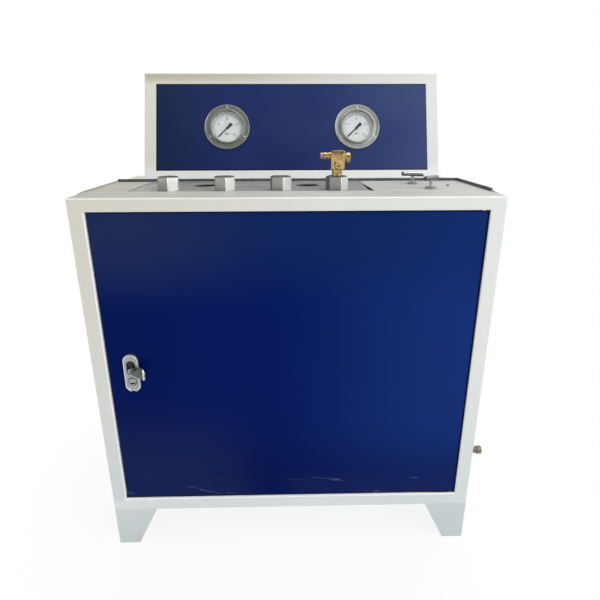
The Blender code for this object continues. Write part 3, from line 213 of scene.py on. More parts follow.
def profile(table, steps=3):
    """A rounded section from a table in millimetres: each corner's two coordinates and the radius that eases it."""
    table = np.array(table) / 1000
    return rounded(table[:, :2], table[:, 2], steps)


def bend(radius, count):
    """A sheet's quarter turn as pairs: r - r cos a, and r - r sin a, for even angles from 0 to 90 degrees."""
    a = np.linspace(0, math.pi / 2, count)
    return list(zip(radius - radius * np.cos(a), radius - radius * np.sin(a)))


def once_round(sides):
    """Even angles once round a circle."""
    return np.linspace(0, 2 * math.pi, sides, endpoint=False)


def heading(degrees):
    """A level direction, turned anticlockwise from the right."""
    return np.array([math.cos(math.radians(degrees)), math.sin(math.radians(degrees)), 0])


def lathe(section, origin, axis, sides, ref=None):
    """A profile of (radius, distance along the axis) carried once round the axis: O + A s + r (cos t U + sin t V)."""
    section = np.asarray(section, float)
    axis = np.asarray(axis, float) / np.linalg.norm(axis)
    if ref is None:
        ref = Z if abs(axis[2]) < 0.9 else X
    u = ref - axis * (ref @ axis)
    u /= np.linalg.norm(u)
    t = once_round(sides)[:, None]
    ring = np.cos(t) * u + np.sin(t) * np.cross(axis, u)
    points = origin + section[:, 1, None, None] * axis + section[:, 0, None, None] * ring
    closed = bool(np.allclose(section[0], section[-1]))
    return skin(points[:-1] if closed else points, closed)


def turned(table, origin, axis, sides, ref=None, steps=3):
    """A turned part from its profile's table: radius, distance along the axis, easing. A profile that starts and ends
    off the axis is a ring."""
    section = profile(table, steps)
    if section[0, 0] > 0 and section[-1, 0] > 0:
        section = np.concatenate([section, section[:1]])
    return lathe(section, origin, axis, sides, ref)


def hexagon_radius(angle, flats):
    """From a hexagon's middle to its side, its corners a little rounded: the p-norm of the six cosines."""
    sharpness = 70
    faces = np.arange(6) * math.pi / 3 + math.pi / 6
    lean = np.maximum(np.cos(angle[..., None] - faces), 0) / (flats / 2)
    return (lean ** sharpness).sum(-1) ** (-1 / sharpness)


def hex_nut(origin, axis, ref, flats, low, high, bore, crown, slope, foot=False):
    """A hexagon between two heights whose rim is the smaller of the hexagon's radius and a cone's, down to a bore. The
    cone cuts the crown, and also the foot where it is asked for."""
    t = once_round(120)
    drop = (flats / math.sqrt(3) - crown * flats / 2) * slope
    rise = np.concatenate([
        low + drop * np.linspace(0, 1, 9) if foot else [low],
        high - drop * np.linspace(1, 0, 9),
    ])
    cone = crown * flats / 2 + (high - rise)[:, None] / slope
    if foot:
        cone = np.minimum(cone, crown * flats / 2 + (rise - low)[:, None] / slope)
    radius = np.minimum(hexagon_radius(t, flats)[None, :], cone)
    ring = np.cos(t)[:, None] * ref + np.sin(t)[:, None] * np.cross(axis, ref)
    side = origin + rise[:, None, None] * axis + radius[..., None] * ring
    lip = 0.0006
    inner = ((bore + lip, high), (bore, high - lip), (bore, low + lip), (bore + lip, low))
    hole = np.stack([origin + s * axis + r * ring for r, s in inner])
    return skin(np.concatenate([side, hole, side[:1]]))


def bar(section, start, end, origin=(0.0, 0.0, 0.0), u=Y, v=Z, w=X):
    """A closed section in u and v carried from start to end along w, with flat ends."""
    base = np.asarray(origin) + section[:, :1] * u + section[:, 1:] * v
    cap = np.broadcast_to(base.mean(0), base.shape)
    return skin(np.stack([cap + start * w, base + start * w, base + end * w, cap + end * w]))


def added(name, data):
    """A new object of the scene."""
    obj = bpy.data.objects.new(name, data)
    bpy.context.collection.objects.link(obj)
    return obj


def filled(curve):
    """The points and faces with which Blender fills a curve or a text."""
    obj = added("flat", curve)
    mesh = bpy.data.meshes.new_from_object(obj.evaluated_get(bpy.context.evaluated_depsgraph_get()))
    points = np.empty(len(mesh.vertices) * 3)
    mesh.vertices.foreach_get("co", points)
    faces = [tuple(p.vertices) for p in mesh.polygons]
    bpy.data.objects.remove(obj, do_unlink=True)
    return points.reshape(-1, 3), faces


def sheet_cut(outline, holes, thick, edge, origin, u=X, v=Y, n=Z):
    """A flat sheet with holes. Its outlines are filled as a flat curve with rounded edges, then laid on u and v,
    with its middle plane at the origin and its thickness along n."""
    curve = bpy.data.curves.new("sheet", "CURVE")
    curve.dimensions = "2D"
    curve.fill_mode = "BOTH"
    curve.extrude = thick / 2 - edge
    curve.bevel_depth = edge
    curve.bevel_resolution = 2
    curve.offset = -edge
    for loop in [outline, *holes]:
        loop = np.asarray(loop, float)
        spline = curve.splines.new("POLY")
        spline.points.add(len(loop) - 1)
        spline.points.foreach_set("co", np.column_stack([loop, np.zeros(len(loop)), np.ones(len(loop))]).ravel())
        spline.use_cyclic_u = True
    points, faces = filled(curve)
    return np.asarray(origin) + points[:, :1] * u + points[:, 1:2] * v + points[:, 2:] * n, faces


def circle(x, y, radius, sides):
    """A circle's outline: the middle plus the radius times the cosine and the sine."""
    t = once_round(sides)
    return np.column_stack([x + radius * np.cos(t), y + radius * np.sin(t)])


def stadium(x, low, high, half):
    """A slot's outline: two half circles joined by straight sides."""
    t = np.linspace(0, math.pi, 17)
    top = np.column_stack([x + half * np.cos(t), high - half + half * np.sin(t)])
    foot = np.column_stack([x - half * np.cos(t), low + half - half * np.sin(t)])
    return np.concatenate([top, foot])


def oblong(x0, x1, y0, y1, radius, steps=5):
    """A rectangle's outline with rounded corners."""
    return rounded([(x0, y0), (x1, y0), (x1, y1), (x0, y1)], radius, steps)


def dome(radius, height):
    """A shallow round head: radius times the cosine, height times the sine, closed underneath."""
    t = np.linspace(0, math.pi / 2, 7)
    foot = -0.0004
    return np.concatenate([[(0, foot), (radius, foot)], np.column_stack([radius * np.cos(t), height * np.sin(t)])])


# Pieces

def merged(mesh, mend):
    """Merges a mesh's doubles, then mends it in one more way."""
    shape = bmesh.new()
    shape.from_mesh(mesh)
    bmesh.ops.remove_doubles(shape, verts=shape.verts, dist=2e-6)
    mend(shape)
    shape.to_mesh(mesh)
    shape.free()


def outwards(shape):
    """Drops faces without area and turns the others outwards."""
    bmesh.ops.dissolve_degenerate(shape, edges=shape.edges, dist=1e-6)
    bmesh.ops.recalc_face_normals(shape, faces=shape.faces)


def flattened(shape):
    """Joins the triangles of each flat face."""
    bmesh.ops.dissolve_limit(shape, angle_limit=math.radians(1), verts=shape.verts, edges=shape.edges)


def dressed(name, mesh, finish, keen):
    """An object of a mesh in one finish, smooth but for its corners."""
    mesh.materials.clear()
    mesh.materials.append(finish.material)
    mesh.shade_smooth()
    mesh.set_sharp_from_angle(angle=math.radians(keen))
    return added(name, mesh)


def placed(obj, body, node, slot):
    """Parents an object to its body's empty and hides the CAD node that it replaces. The slot is not used."""
    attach(obj, body)
    if node:
        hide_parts(node)


def piece(name, parts, finish, node=None, body="cabinet", keen=32, even=False, slot=None):
    """One piece from several surfaces: doubles merged, faces outward, smooth but for its corners."""
    faces, base = [], 0
    for part, quads in parts:
        faces.extend([[i + base for i in face] for face in quads])
        base += len(part)
    mesh = bpy.data.meshes.new(name)
    mesh.from_pydata((np.concatenate([part for part, _ in parts]) + BENCH).tolist(), [], faces)
    merged(mesh, outwards)
    obj = dressed(name, mesh, finish, keen)
    if even:
        obj.modifiers.new("even", "WEIGHTED_NORMAL").keep_sharp = True
    placed(obj, body, node, slot or finish.slot)


def eased(node, finish, edge, body="cabinet", steps=2):
    """A merged copy of a CAD node with its edges eased by a small bevel."""
    keen = 30
    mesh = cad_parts[node].data.copy()
    merged(mesh, flattened)
    obj = dressed(f"{node}_eased", mesh, finish, keen)
    if edge > 0:
        bevel = obj.modifiers.new("edge", "BEVEL")
        bevel.width = edge
        bevel.segments = steps
        bevel.limit_method = "ANGLE"
        bevel.angle_limit = math.radians(keen)
        bevel.harden_normals = True
    placed(obj, body, node, finish.slot)


# Finishes

class Nodes:
    """A node tree, with short ways to add to it. An input takes another node's output, or a plain value."""

    def __init__(self, tree):
        self.tree = tree

    def new(self, kind):
        """A new node of a kind."""
        return self.tree.nodes.new(f"ShaderNode{kind}")

    def fill(self, node, inputs):
        """Gives a node what goes into its inputs, by name or number, and returns its outputs."""
        for key, value in inputs.items():
            if isinstance(value, bpy.types.NodeSocket):
                self.tree.links.new(value, node.inputs[key])
            else:
                node.inputs[key].default_value = value
        return node.outputs

    def maths(self, kind, *values):
        """One step of arithmetic."""
        node = self.new("Math")
        node.operation = kind
        return self.fill(node, dict(enumerate(values)))["Value"]

    def ramp(self, value, low, high, start=0.0, end=1.0):
        """A smooth step from start to end while the value goes from low to high."""
        node = self.new("MapRange")
        node.interpolation_type = "SMOOTHSTEP"
        ends = {"From Min": low, "From Max": high, "To Min": start, "To Max": end}
        return self.fill(node, {"Value": value, **ends})["Result"]

    def split(self, vector):
        """A vector's three numbers, by axis."""
        return self.fill(self.new("SeparateXYZ"), {0: vector})


class Finish(Nodes):
    """A procedural material: a Principled shader and the nodes that feed it, all read from Object coordinates. A layer
    is a smooth step (source, low, high, start, end), whose source is an axis, a noise's numbers or a node's output."""

    def __init__(self, name, slot, colour, roughness, metallic=0.0, specular=0.5):
        self.material = bpy.data.materials.new(name)
        self.material.use_nodes = True
        super().__init__(self.material.node_tree)
        self.shader = self.tree.nodes["Principled BSDF"]
        self.slot = slot
        self.colour = (*colour, 1)
        self.shader.inputs["Base Color"].default_value = self.colour
        self.shader.inputs["Roughness"].default_value = roughness
        self.shader.inputs["Metallic"].default_value = metallic
        self.shader.inputs["Specular IOR Level"].default_value = specular
        self.place = self.new("TexCoord").outputs
        self.height = {}

    def noise(self, scale, detail=3, rough=0.55, warp=0.0, stretch=None):
        """Cloudy noise, its pattern made finer along each axis by the stretch."""
        where = self.place["Object"]
        if stretch:
            where = self.fill(self.new("Mapping"), {"Vector": where, "Scale": stretch})["Vector"]
        numbers = {"Scale": scale, "Detail": detail, "Roughness": rough, "Distortion": warp}
        return self.fill(self.new("TexNoise"), {"Vector": where, **numbers})["Fac"]

    def along(self, axis):
        """How far a point lies along an axis."""
        return self.split(self.place["Object"])[axis]

    def facing(self, axis):
        """How far the surface faces along an axis, from its own normal."""
        return self.split(self.place["Normal"])[axis]

    def level(self, layer):
        """A layer's value over the surface. A plain number or a node's output stays as it is."""
        if not isinstance(layer, tuple):
            return layer
        source, *ends = layer
        if isinstance(source, str):
            source = self.along(source)
        elif isinstance(source, tuple):
            source = self.noise(*source)
        return self.ramp(source, *ends)

    def share(self, *layers, kind="MULTIPLY"):
        """The product of some layers, or their maximum."""
        total = self.level(layers[0])
        for layer in layers[1:]:
            total = self.maths(kind, total, self.level(layer))
        return total

    def tint(self, colour, *layers):
        """Mixes the base colour towards another by the product of some layers."""
        node = self.new("Mix")
        node.data_type = "RGBA"
        self.colour = self.fill(node, {"Factor": self.share(*layers), "A": self.colour, "B": (*colour, 1)})["Result"]
        self.fill(self.shader, {"Base Color": self.colour})

    def dull(self, scale, detail, start, end, low=0.3, high=0.7):
        """Roughness that drifts between two values with a noise."""
        self.fill(self.shader, {"Roughness": self.ramp(self.noise(scale, detail), low, high, start, end)})

    def bump(self, noise, strength, distance):
        """A noise's relief, on top of the relief before it."""
        relief = {"Strength": strength, "Distance": distance, "Height": self.noise(*noise)}
        self.height = {"Normal": self.fill(self.new("Bump"), {**relief, **self.height})["Normal"]}
        self.fill(self.shader, self.height)


def darker(colour, share):
    """A colour times a share."""
    return tuple(c * share for c in colour)


def enamel_white(name, grime=1.0, base=(0.72, 0.73, 0.70)):
    """Off-white sprayed enamel: a fine orange peel, cloudy drift, yellower and darker towards the upper left as painted
    warm light and shade, cooler near the floor, with faint smears, specks and dust low down."""
    f = Finish(name, "white_paint", base, 0.38, specular=0.3)
    f.tint(darker(base, 0.955), ((2.2, 4), 0.35, 0.68, 0.0, 0.4))
    # Painted warm light and shade: yellower and darker towards the upper left.
    f.tint((0.68, 0.665, 0.59), ("X", -0.50, 0.30, 1.0, 0.0), ("Z", 0.30, 0.95, 0.15, 1.0))
    f.tint((0.64, 0.70, 0.715), ("Z", 0.02, 0.70, 0.9, 0.0))
    f.tint((0.47, 0.46, 0.41), ((7.0, 5, 0.7, 0.6), 0.60, 0.80, 0.0, 0.16 * grime))
    f.tint((0.30, 0.28, 0.24), ((190, 4, 0.7), 0.72, 0.78, 0.0, 0.35 * grime))
    f.tint((0.40, 0.38, 0.33), ("Z", 0.0, 0.13, 0.30 * grime, 0.0), ((16, 5), 0.35, 0.7))
    f.dull(6, 4, 0.32, 0.46)
    f.bump((420, 2), 0.10, 0.0003)
    f.bump((3.0, 2), 0.14, 0.004)
    return f


def enamel_frame(name):
    """The front frame's enamel, with painted highlights on its lower rail, on the bends into its returns and along the
    edges of its sill and left jamb, and painted shade deep in the returns below and to the right.
    """
    f = enamel_white(name)
    # Painted highlight: the lower rail paler, most of all towards the left.
    f.tint((0.84, 0.86, 0.84), ("Z", 0.150, 0.156, 1.0, 0.0), ("X", 0.05, 0.35, 0.5, 0.0))
    off = f.maths("ABSOLUTE", f.maths("SUBTRACT", f.along("X"), MIDDLE))
    inside = f.share((off, 0.472, 0.482, 1.0, 0.0), ("Z", 0.138, 0.146))
    # Painted highlight: the bends into the opening's returns are made bright.
    bright = (0.96, 0.97, 0.98)
    f.tint(bright, inside, ("Y", FRONT + 0.0002, FRONT + 0.0016))
    # Painted highlight along the edge of the sill and of the left jamb.
    low = f.share(("Z", 0.1530, 0.1545), ("Z", 0.165, 0.170, 1.0, 0.0), (off, 0.4630, 0.4645, 1.0, 0.0))
    left = f.share(
        ("X", MIDDLE - 0.4668, MIDDLE - 0.4656), ("X", MIDDLE - 0.45, MIDDLE - 0.44, 1.0, 0.0),
        ("Z", 0.1530, 0.1545), ("Z", 0.9585, 0.9600, 1.0, 0.0),
    )
    f.tint(bright, f.maths("MAXIMUM", low, left), 0.9)
    # Painted shade: near-black deep in the returns to the right and below, in the gap between door and frame.
    right = f.share(("X", 0.30, 0.40), ("Y", FRONT + 0.0030, FRONT + 0.0060))
    below = f.share(("Z", 0.165, 0.175, 1.0, 0.0), ("Y", FRONT + 0.0056, FRONT + 0.0072))
    f.tint((0.05, 0.05, 0.055), inside, f.maths("MAXIMUM", right, below))
    return f


def enamel_feet(name):
    """The feet's enamel: as the cabinet's, but greyer on the right."""
    f = enamel_white(name)
    f.tint((0.575, 0.625, 0.635), ("X", 0.30, 0.42))
    return f


def enamel_box(name):
    """The gauge box's enamel: cleaner than the cabinet's, with a brown film along the left half of its top and a
    painted highlight towards its foot.
    """
    f = enamel_white(name, 0.7, (0.665, 0.672, 0.66))
    f.tint((0.46, 0.43, 0.32), ("Z", 1.255, 1.285), ("X", -0.45, 0.45, 0.95, 0.1))
    # Painted highlight: paler towards the foot of the box.
    f.tint((0.80, 0.82, 0.82), ("Z", 1.00, 1.05, 0.9, 0.0))
    return f


def enamel_worn_top(name):
    """The worktop's enamel, greyed by oil and water in long smears across it, with pale rings and specks, darker and
    warmer to the left, and a painted highlight along its front bend."""
    f = Finish(name, "white_paint", (0.475, 0.472, 0.455), 0.55, specular=0.06)
    f.tint((0.415, 0.405, 0.345), ("X", -0.50, 0.10, 0.85, 0.0))
    f.tint((0.37, 0.36, 0.335), ((7, 5, 0.65, 0.5, (0.45, 2.6, 1.0)), 0.42, 0.70, 0.0, 0.6))
    f.tint((0.56, 0.565, 0.56), ((11, 4, 0.6, 0.0, (0.5, 2.0, 1.0)), 0.55, 0.75, 0.0, 0.45))
    f.tint((0.33, 0.30, 0.26), ((26, 5, 0.7, 1.0, (0.4, 2.0, 1.0)), 0.62, 0.74, 0.0, 0.35))
    f.tint((0.25, 0.23, 0.20), ((170, 3, 0.7), 0.70, 0.76, 0.0, 0.4))
    # Painted highlight: a pale band along the front bend.
    f.tint((0.80, 0.795, 0.775), ("Y", FRONT + 0.0022, FRONT + 0.0046, 1.0, 0.0))
    f.dull(14, 5, 0.46, 0.66)
    f.bump((380, 2), 0.12, 0.0003)
    f.bump((3.0, 2), 0.12, 0.003)
    return f


def enamel_blue(name, base, specular, right, upper):
    """Deep blue sprayed enamel: soft drift, a painted reflection that makes it paler to the right and higher up
    and greyer at the upper left, painted shade to the left and along a panel's rim, slight waves of the sheet,
    fine scratches and pale scuffs low down."""
    f = Finish(name, "blue_paint", base, 0.36, specular=specular)
    f.tint(darker(base, 1.18), ((1.7, 3), 0.35, 0.7, 0.0, 0.5))
    # Painted reflection: paler towards the right.
    f.tint(right, ("X", -0.10, 0.44))
    # Painted shade: darker towards the left.
    f.tint(darker(base, 0.72), ("X", -0.48, -0.20, 0.5, 0.0))
    high = f.share(("Z", 0.70, 0.93), ("Z", 1.0, 0.98))
    # Painted reflection: the door paler higher up, and towards its upper right.
    f.tint(upper, high)
    f.tint(right, high, ("X", 0.10, 0.44, 0.0, 0.55))
    # Painted reflection: greyer at the door's upper left.
    f.tint((0.0125, 0.0240, 0.090), high, ("X", -0.40, -0.05, 1.0, 0.0))
    above = f.level(("Z", 1.0, 1.01))
    # Painted shade: the panel darker towards its left.
    f.tint((0.0025, 0.0130, 0.052), above, ("X", -0.44, -0.16, 0.7, 0.0))
    # Painted reflection: the panel paler towards its upper right.
    f.tint((0.030, 0.056, 0.145), ("Z", 1.10, 1.22, 0.0, 0.6), ("X", 0.0, 0.40))
    # Painted shade: a near-black line along the panel's edges at the bottom, top and left of the window.
    left = MIDDLE + BOX_X - 0.4022
    rim = f.share(
        ("Z", 1.0222, 1.0234, 1.0, 0.0), ("Z", 1.2590, 1.2602), ("X", left, left + 0.0014, 1.0, 0.0), kind="MAXIMUM",
    )
    f.tint((0.003, 0.005, 0.016), above, rim)
    f.tint((0.10, 0.12, 0.20), ((26, 5, 0.7, 0.4), 0.64, 0.86, 0.0, 0.06))
    f.tint(darker(base, 0.6), ("Z", 0.17, 0.42, 0.6, 0.0))
    f.tint((0.012, 0.020, 0.095), ("Z", 0.155, 0.260, 1.0, 0.0), ((4, 4), 0.40, 0.70, 0.0, 0.6))
    f.tint((0.0080, 0.0165, 0.088), ("Z", 0.25, 0.50, 0.8, 0.0), ("X", -0.30, -0.05, 1.0, 0.0), ("Z", 0.10, 0.14))
    scuffs = (8, 5, 0.65, 0.8, (0.8, 1.0, 4.0))
    f.tint((0.24, 0.29, 0.44), (scuffs, 0.61, 0.70), ("Z", 0.158, 0.245, 0.6, 0.0))
    f.dull(5, 4, 0.30, 0.44, 0.3, 0.75)
    f.bump((380, 2), 0.10, 0.0003)
    f.bump((2.4, 2), 0.20, 0.006)
    return f


def plate_grey(name):
    """Worn galvanised plate under oil and water: grey blotches, stains and fine rubbed lines."""
    f = Finish(name, "zinc_steel", (0.325, 0.33, 0.315), 0.48, metallic=0.35, specular=0.25)
    f.tint((0.235, 0.235, 0.215), ((9, 6, 0.7, 0.5), 0.40, 0.70, 0.0, 0.75))
    f.tint((0.43, 0.425, 0.40), ((30, 5, 0.65), 0.56, 0.76, 0.0, 0.45))
    f.tint((0.16, 0.15, 0.13), ((60, 4, 0.7, 0.0, (0.2, 1.0, 1.0)), 0.66, 0.78, 0.0, 0.35))
    f.dull(14, 5, 0.34, 0.58)
    f.bump((120, 4), 0.18, 0.0003)
    f.bump((40, 2, 0.5, 0.0, (0.1, 3.0, 1.0)), 0.12, 0.0003)
    return f


def zinc_dull(name, slot, colour, metallic, smooth, rough, scale):
    """Dull zinc on turned steel: mottled, with fine pits and darker handling marks."""
    f = Finish(name, slot, colour, smooth, metallic=metallic)
    f.tint(darker(colour, 0.62), ((55 * scale, 5, 0.7), 0.45, 0.75, 0.0, 0.6))
    f.tint(darker(colour, 0.3), ((260 * scale, 3, 0.6), 0.68, 0.76, 0.0, 0.6))
    f.dull(80 * scale, 4, smooth, rough)
    f.bump((520 * scale, 3), 0.16, 0.0002)
    return f


def socket_zinc(name):
    """The sockets' zinc: mottled flats, a painted highlight on the flats that face right and painted shade on those
    that face left, and crowns darkened by oil.
    """
    f = Finish(name, "socket_steel", (0.44, 0.445, 0.43), 0.34, metallic=0.8)
    # Painted highlight on the flats that face right, painted shade on those that face left.
    f.tint((0.93, 0.93, 0.90), (f.facing("X"), 0.20, 0.55))
    f.tint((0.17, 0.17, 0.16), (f.facing("X"), -0.90, -0.30, 0.85, 0.0))
    f.tint((0.28, 0.275, 0.255), ((60, 5, 0.7), 0.50, 0.78, 0.0, 0.4))
    f.tint((0.18, 0.17, 0.15), ((240, 3, 0.6), 0.68, 0.76, 0.0, 0.6))
    f.tint((0.13, 0.122, 0.10), ("Z", SOCKET_TOP - 0.0030, SOCKET_TOP - 0.0012), ((90, 4), 0.25, 0.65, 0.6, 1.0))
    f.dull(80, 4, 0.28, 0.44)
    f.bump((520, 3), 0.16, 0.0002)
    return f


def lever_cast(name):
    """The lever's die-cast zinc, mottled and painted dark as shade, with a painted highlight along its outer end."""
    # Painted shade: a dark base colour for the lever.
    f = Finish(name, "zinc_steel", (0.105, 0.125, 0.115), 0.34, metallic=0.8)
    f.tint((0.055, 0.066, 0.060), ((70, 4, 0.65), 0.42, 0.72, 0.0, 0.5))
    # Painted highlight along the lever's outer end.
    f.tint((0.80, 0.82, 0.82), ("X", MIDDLE + LOCK_X + 0.0352, MIDDLE + LOCK_X + 0.0372))
    f.dull(110, 4, 0.24, 0.42)
    f.bump((600, 3), 0.10, 0.0002)
    return f


def chrome(name, colour=(0.50, 0.50, 0.51)):
    """Bright plated steel with a faint haze and hairlines."""
    f = Finish(name, "zinc_steel", colour, 0.14, metallic=1.0)
    f.tint(darker(colour, 0.6), ((140, 4), 0.52, 0.75, 0.0, 0.4))
    f.dull(90, 4, 0.10, 0.26)
    f.bump((600, 2, 0.5, 0.0, (1.0, 1.0, 0.2)), 0.05, 0.0001)
    return f


def bar_chrome(name, x, turn, grey):
    """A cross bar's plating, with painted shade below and round its left end."""
    f = chrome(name, (grey, grey, grey))
    # Painted shade: dark grey below the bar's axis and round its left end.
    painted_shade_grey = (0.10, 0.10, 0.105)
    axis = TOP + BAR_RISE
    f.tint(painted_shade_grey, ("Z", axis - 0.0024, axis + 0.0026, 0.92, 0.0))
    end = MIDDLE + x - BAR_REACH * math.cos(math.radians(turn))
    f.tint(painted_shade_grey, ("X", end + 0.0030, end + 0.0042, 0.9, 0.0))
    return f


def stainless(name):
    """Rolled stainless steel of the gauge cases: soft gloss, water marks, a few dull spots, and painted shade that
    makes it dimmer to the left.
    """
    colour = (0.40, 0.42, 0.385)
    f = Finish(name, "gauge_steel", colour, 0.30, metallic=0.75)
    f.tint(darker(colour, 0.8), ((28, 4, 0.65), 0.42, 0.72, 0.0, 0.4))
    # Painted shade: darker towards the left.
    f.tint(darker(colour, 0.62), ("X", -0.12, 0.06, 0.75, 0.0))
    f.tint((0.18, 0.18, 0.16), ((240, 3), 0.70, 0.78, 0.0, 0.3))
    f.dull(45, 4, 0.30, 0.42)
    f.bump((330, 2), 0.06, 0.0002)
    return f


def bezel_steel(name):
    """The bezels' steel, with a painted highlight where it faces up and left, dull elsewhere."""
    f = Finish(name, "gauge_steel", (0.34, 0.35, 0.33), 0.28, metallic=0.8)
    f.tint((0.25, 0.26, 0.24), ((60, 3), 0.45, 0.75, 0.0, 0.4))
    # Painted highlight on the faces that look up and to the left.
    f.tint((0.95, 0.95, 0.93), (f.maths("SUBTRACT", f.facing("Z"), f.facing("X")), 0.70, 1.15))
    f.dull(45, 4, 0.24, 0.36)
    f.bump((330, 2), 0.03, 0.0001)
    return f


def brass_cut(name, lines):
    """Machined brass: fine tool lines across one axis, brown tarnish in patches and bright rubbed places."""
    f = Finish(name, "brass", (0.64, 0.47, 0.20), 0.18, metallic=1.0)
    f.tint((0.35, 0.23, 0.085), ((190, 3, 0.55, 0.0, (1.0, 1.0, 0.10)), 0.46, 0.66, 0.0, 0.65))
    f.tint((0.20, 0.14, 0.06), ((100, 4, 0.65), 0.60, 0.74, 0.0, 0.6))
    f.dull(90, 3, 0.12, 0.28)
    f.bump((70, 2, 0.5, 0.0, lines), 0.10, 0.0002)
    return f


def copper_drawn(name):
    """Drawn copper, pink where it was rubbed and brown elsewhere."""
    f = Finish(name, "copper", (0.66, 0.40, 0.31), 0.28, metallic=1.0)
    f.tint((0.38, 0.20, 0.14), ((36, 4, 0.6), 0.42, 0.75, 0.0, 0.6))
    f.dull(90, 4, 0.22, 0.42)
    f.bump((300, 2), 0.08, 0.0002)
    return f


def rubber_dusty(name):
    """Dark rubber trim, grey with settled dust."""
    f = Finish(name, "rubber", (0.064, 0.068, 0.078), 0.62, specular=0.35)
    f.tint((0.145, 0.15, 0.152), ((40, 5, 0.7), 0.42, 0.74, 0.0, 0.65))
    f.dull(60, 4, 0.50, 0.75)
    f.bump((500, 3), 0.22, 0.0003)
    return f


def dial_paper(name):
    """White dial enamel, very slightly yellowed in places."""
    f = Finish(name, "dial_white", (0.63, 0.645, 0.64), 0.42, specular=0.3)
    f.tint((0.585, 0.59, 0.57), ((24, 4), 0.4, 0.75, 0.0, 0.35))
    f.tint((0.45, 0.46, 0.44), ((120, 4, 0.7), 0.62, 0.80, 0.0, 0.14))
    f.dull(70, 3, 0.38, 0.5)
    f.bump((600, 2), 0.04, 0.0001)
    return f


def ink(name, colour, fade=0.25, specular=0.4):
    """Printed or enamelled black with a slight fade."""
    f = Finish(name, "pointer_black", colour, 0.45, specular=specular)
    f.tint([c + 0.09 for c in colour], ((160, 3), 0.4, 0.75, 0.0, fade))
    f.dull(90, 3, 0.38, 0.55)
    f.bump((700, 2), 0.04, 0.0001)
    return f


def clear_glass(name):
    """Gauge glass: clear, with faint smears in its gloss."""
    f = Finish(name, "glass", (0.97, 0.98, 0.98), 0.04)
    f.shader.inputs["Transmission Weight"].default_value = 1.0
    f.shader.inputs["IOR"].default_value = 1.12
    f.tint((0.93, 0.95, 0.95), ((30, 3), 0.5, 0.8, 0.0, 0.3))
    f.dull(50, 4, 0.02, 0.09, 0.4, 0.75)
    f.bump((30, 2), 0.01, 0.0001)
    return f


WHITE = enamel_white("enamel_off_white")
WHITE_IN = enamel_white("enamel_off_white_inside", 1.6)
FRAME_WHITE = enamel_frame("enamel_frame_white")
BOX_WHITE = enamel_box("enamel_box_white")
FOOT_WHITE = enamel_feet("enamel_feet_white")
TOP_GREY = enamel_worn_top("enamel_worktop")
DOOR_BLUE = (0.0002, 0.0086, 0.103)
PANEL_BLUE = (0.0055, 0.0190, 0.109)
# The last two colours of each blue are a painted reflection: paler to the right, and higher up on the door.
BLUE = enamel_blue("enamel_deep_blue", DOOR_BLUE, 0.03, (0.0060, 0.0270, 0.165), (0.0040, 0.0180, 0.105))
BLUE_PANEL = enamel_blue("enamel_blue_panel", PANEL_BLUE, 0.30, (0.0140, 0.0330, 0.147), PANEL_BLUE)
PLATE = plate_grey("station_plate_grey")
SOCKET = socket_zinc("socket_zinc")
ZINC = zinc_dull("fastener_zinc", "zinc_steel", (0.58, 0.58, 0.57), 0.9, 0.24, 0.42, 1.6)
LOCK = zinc_dull("lock_die_cast", "zinc_steel", (0.37, 0.405, 0.395), 0.80, 0.28, 0.44, 1.4)
# Painted highlight: a lighter copy of the lock's zinc for its raised rim.
LOCK_RIM = zinc_dull("lock_rim_painted_highlight", "zinc_steel", (0.70, 0.72, 0.73), 0.80, 0.20, 0.36, 1.4)
LOCK_WELL = zinc_dull("lock_well_shaded", "zinc_steel", (0.10, 0.095, 0.09), 0.4, 0.40, 0.55, 1.4)
LEVER = lever_cast("lock_lever_cast")
CHROME = chrome("stem_chrome")
BARS = {
    name: bar_chrome(f"{name}_bar_chrome", x, turn, grey) for (name, x, _, turn), grey in zip(VALVES, (0.72, 0.34))
}
GAUGE = stainless("gauge_stainless")
BEZEL = bezel_steel("gauge_bezel_painted_highlight")
BRASS = brass_cut("valve_brass", (40.0, 1.0, 1.0))
BRASS_ROUND = brass_cut("valve_brass_turned", (1.0, 1.0, 30.0))
BRASS_DARK = zinc_dull("fitting_brass_tarnished", "brass", (0.24, 0.215, 0.165), 0.8, 0.35, 0.55, 1.2)
COPPER = copper_drawn("copper_drawn")
RUBBER = rubber_dusty("trim_rubber")
DIAL = dial_paper("dial_enamel")
PRINT = ink("dial_print", (0.10, 0.10, 0.11))
POINTER = ink("pointer_black", (0.012, 0.012, 0.013))
GLASS = clear_glass("gauge_glass")
# Near-black: the real colour of the rubber plug on the worktop, and painted shade behind the keyway.
BLACK_AND_SHADE = ink("black_and_painted_shade", (0.006, 0.006, 0.007), 0.04, 0.1)


# Cabinet

def folded(rows):
    """A ring of folded sheet in rows of four corners. Each row is a front-facing rectangle (x0, x1, z0, z1), set
    outwards by a distance, at a depth."""
    return skin([
        [(x0 - out, y, z0 - out), (x0 - out, y, z1 + out), (x1 + out, y, z1 + out), (x1 + out, y, z0 - out)]
        for (x0, x1, z0, z1), out, y in rows
    ], True)


def front_frame():
    """A ring of folded channel. Each row is a rectangle: the outer skin comes forward, bends into the face, bends
    again into the opening, and the inner skin goes back the same way one sheet further in."""
    outer = (-HALF, HALF, FOOT, UNDER_TOP - 0.0002)
    s, lip, turn = SHEET, BEND + LIP, bend(BEND, 5)
    rows = [(outer, 0, FRAME_DEPTH)]
    rows += [(outer, -a, b) for a, b in turn]
    rows += [(OPENING, b, a) for a, b in turn]
    rows += [(OPENING, 0, FRAME_DEPTH), (OPENING, s, FRAME_DEPTH), (OPENING, s, lip), (OPENING, lip, s)]
    rows += [(outer, -lip, s), (outer, -s, lip), (outer, -s, FRAME_DEPTH)]
    piece("front_frame_folded", [folded(rows)], FRAME_WHITE, "front_frame", even=True)


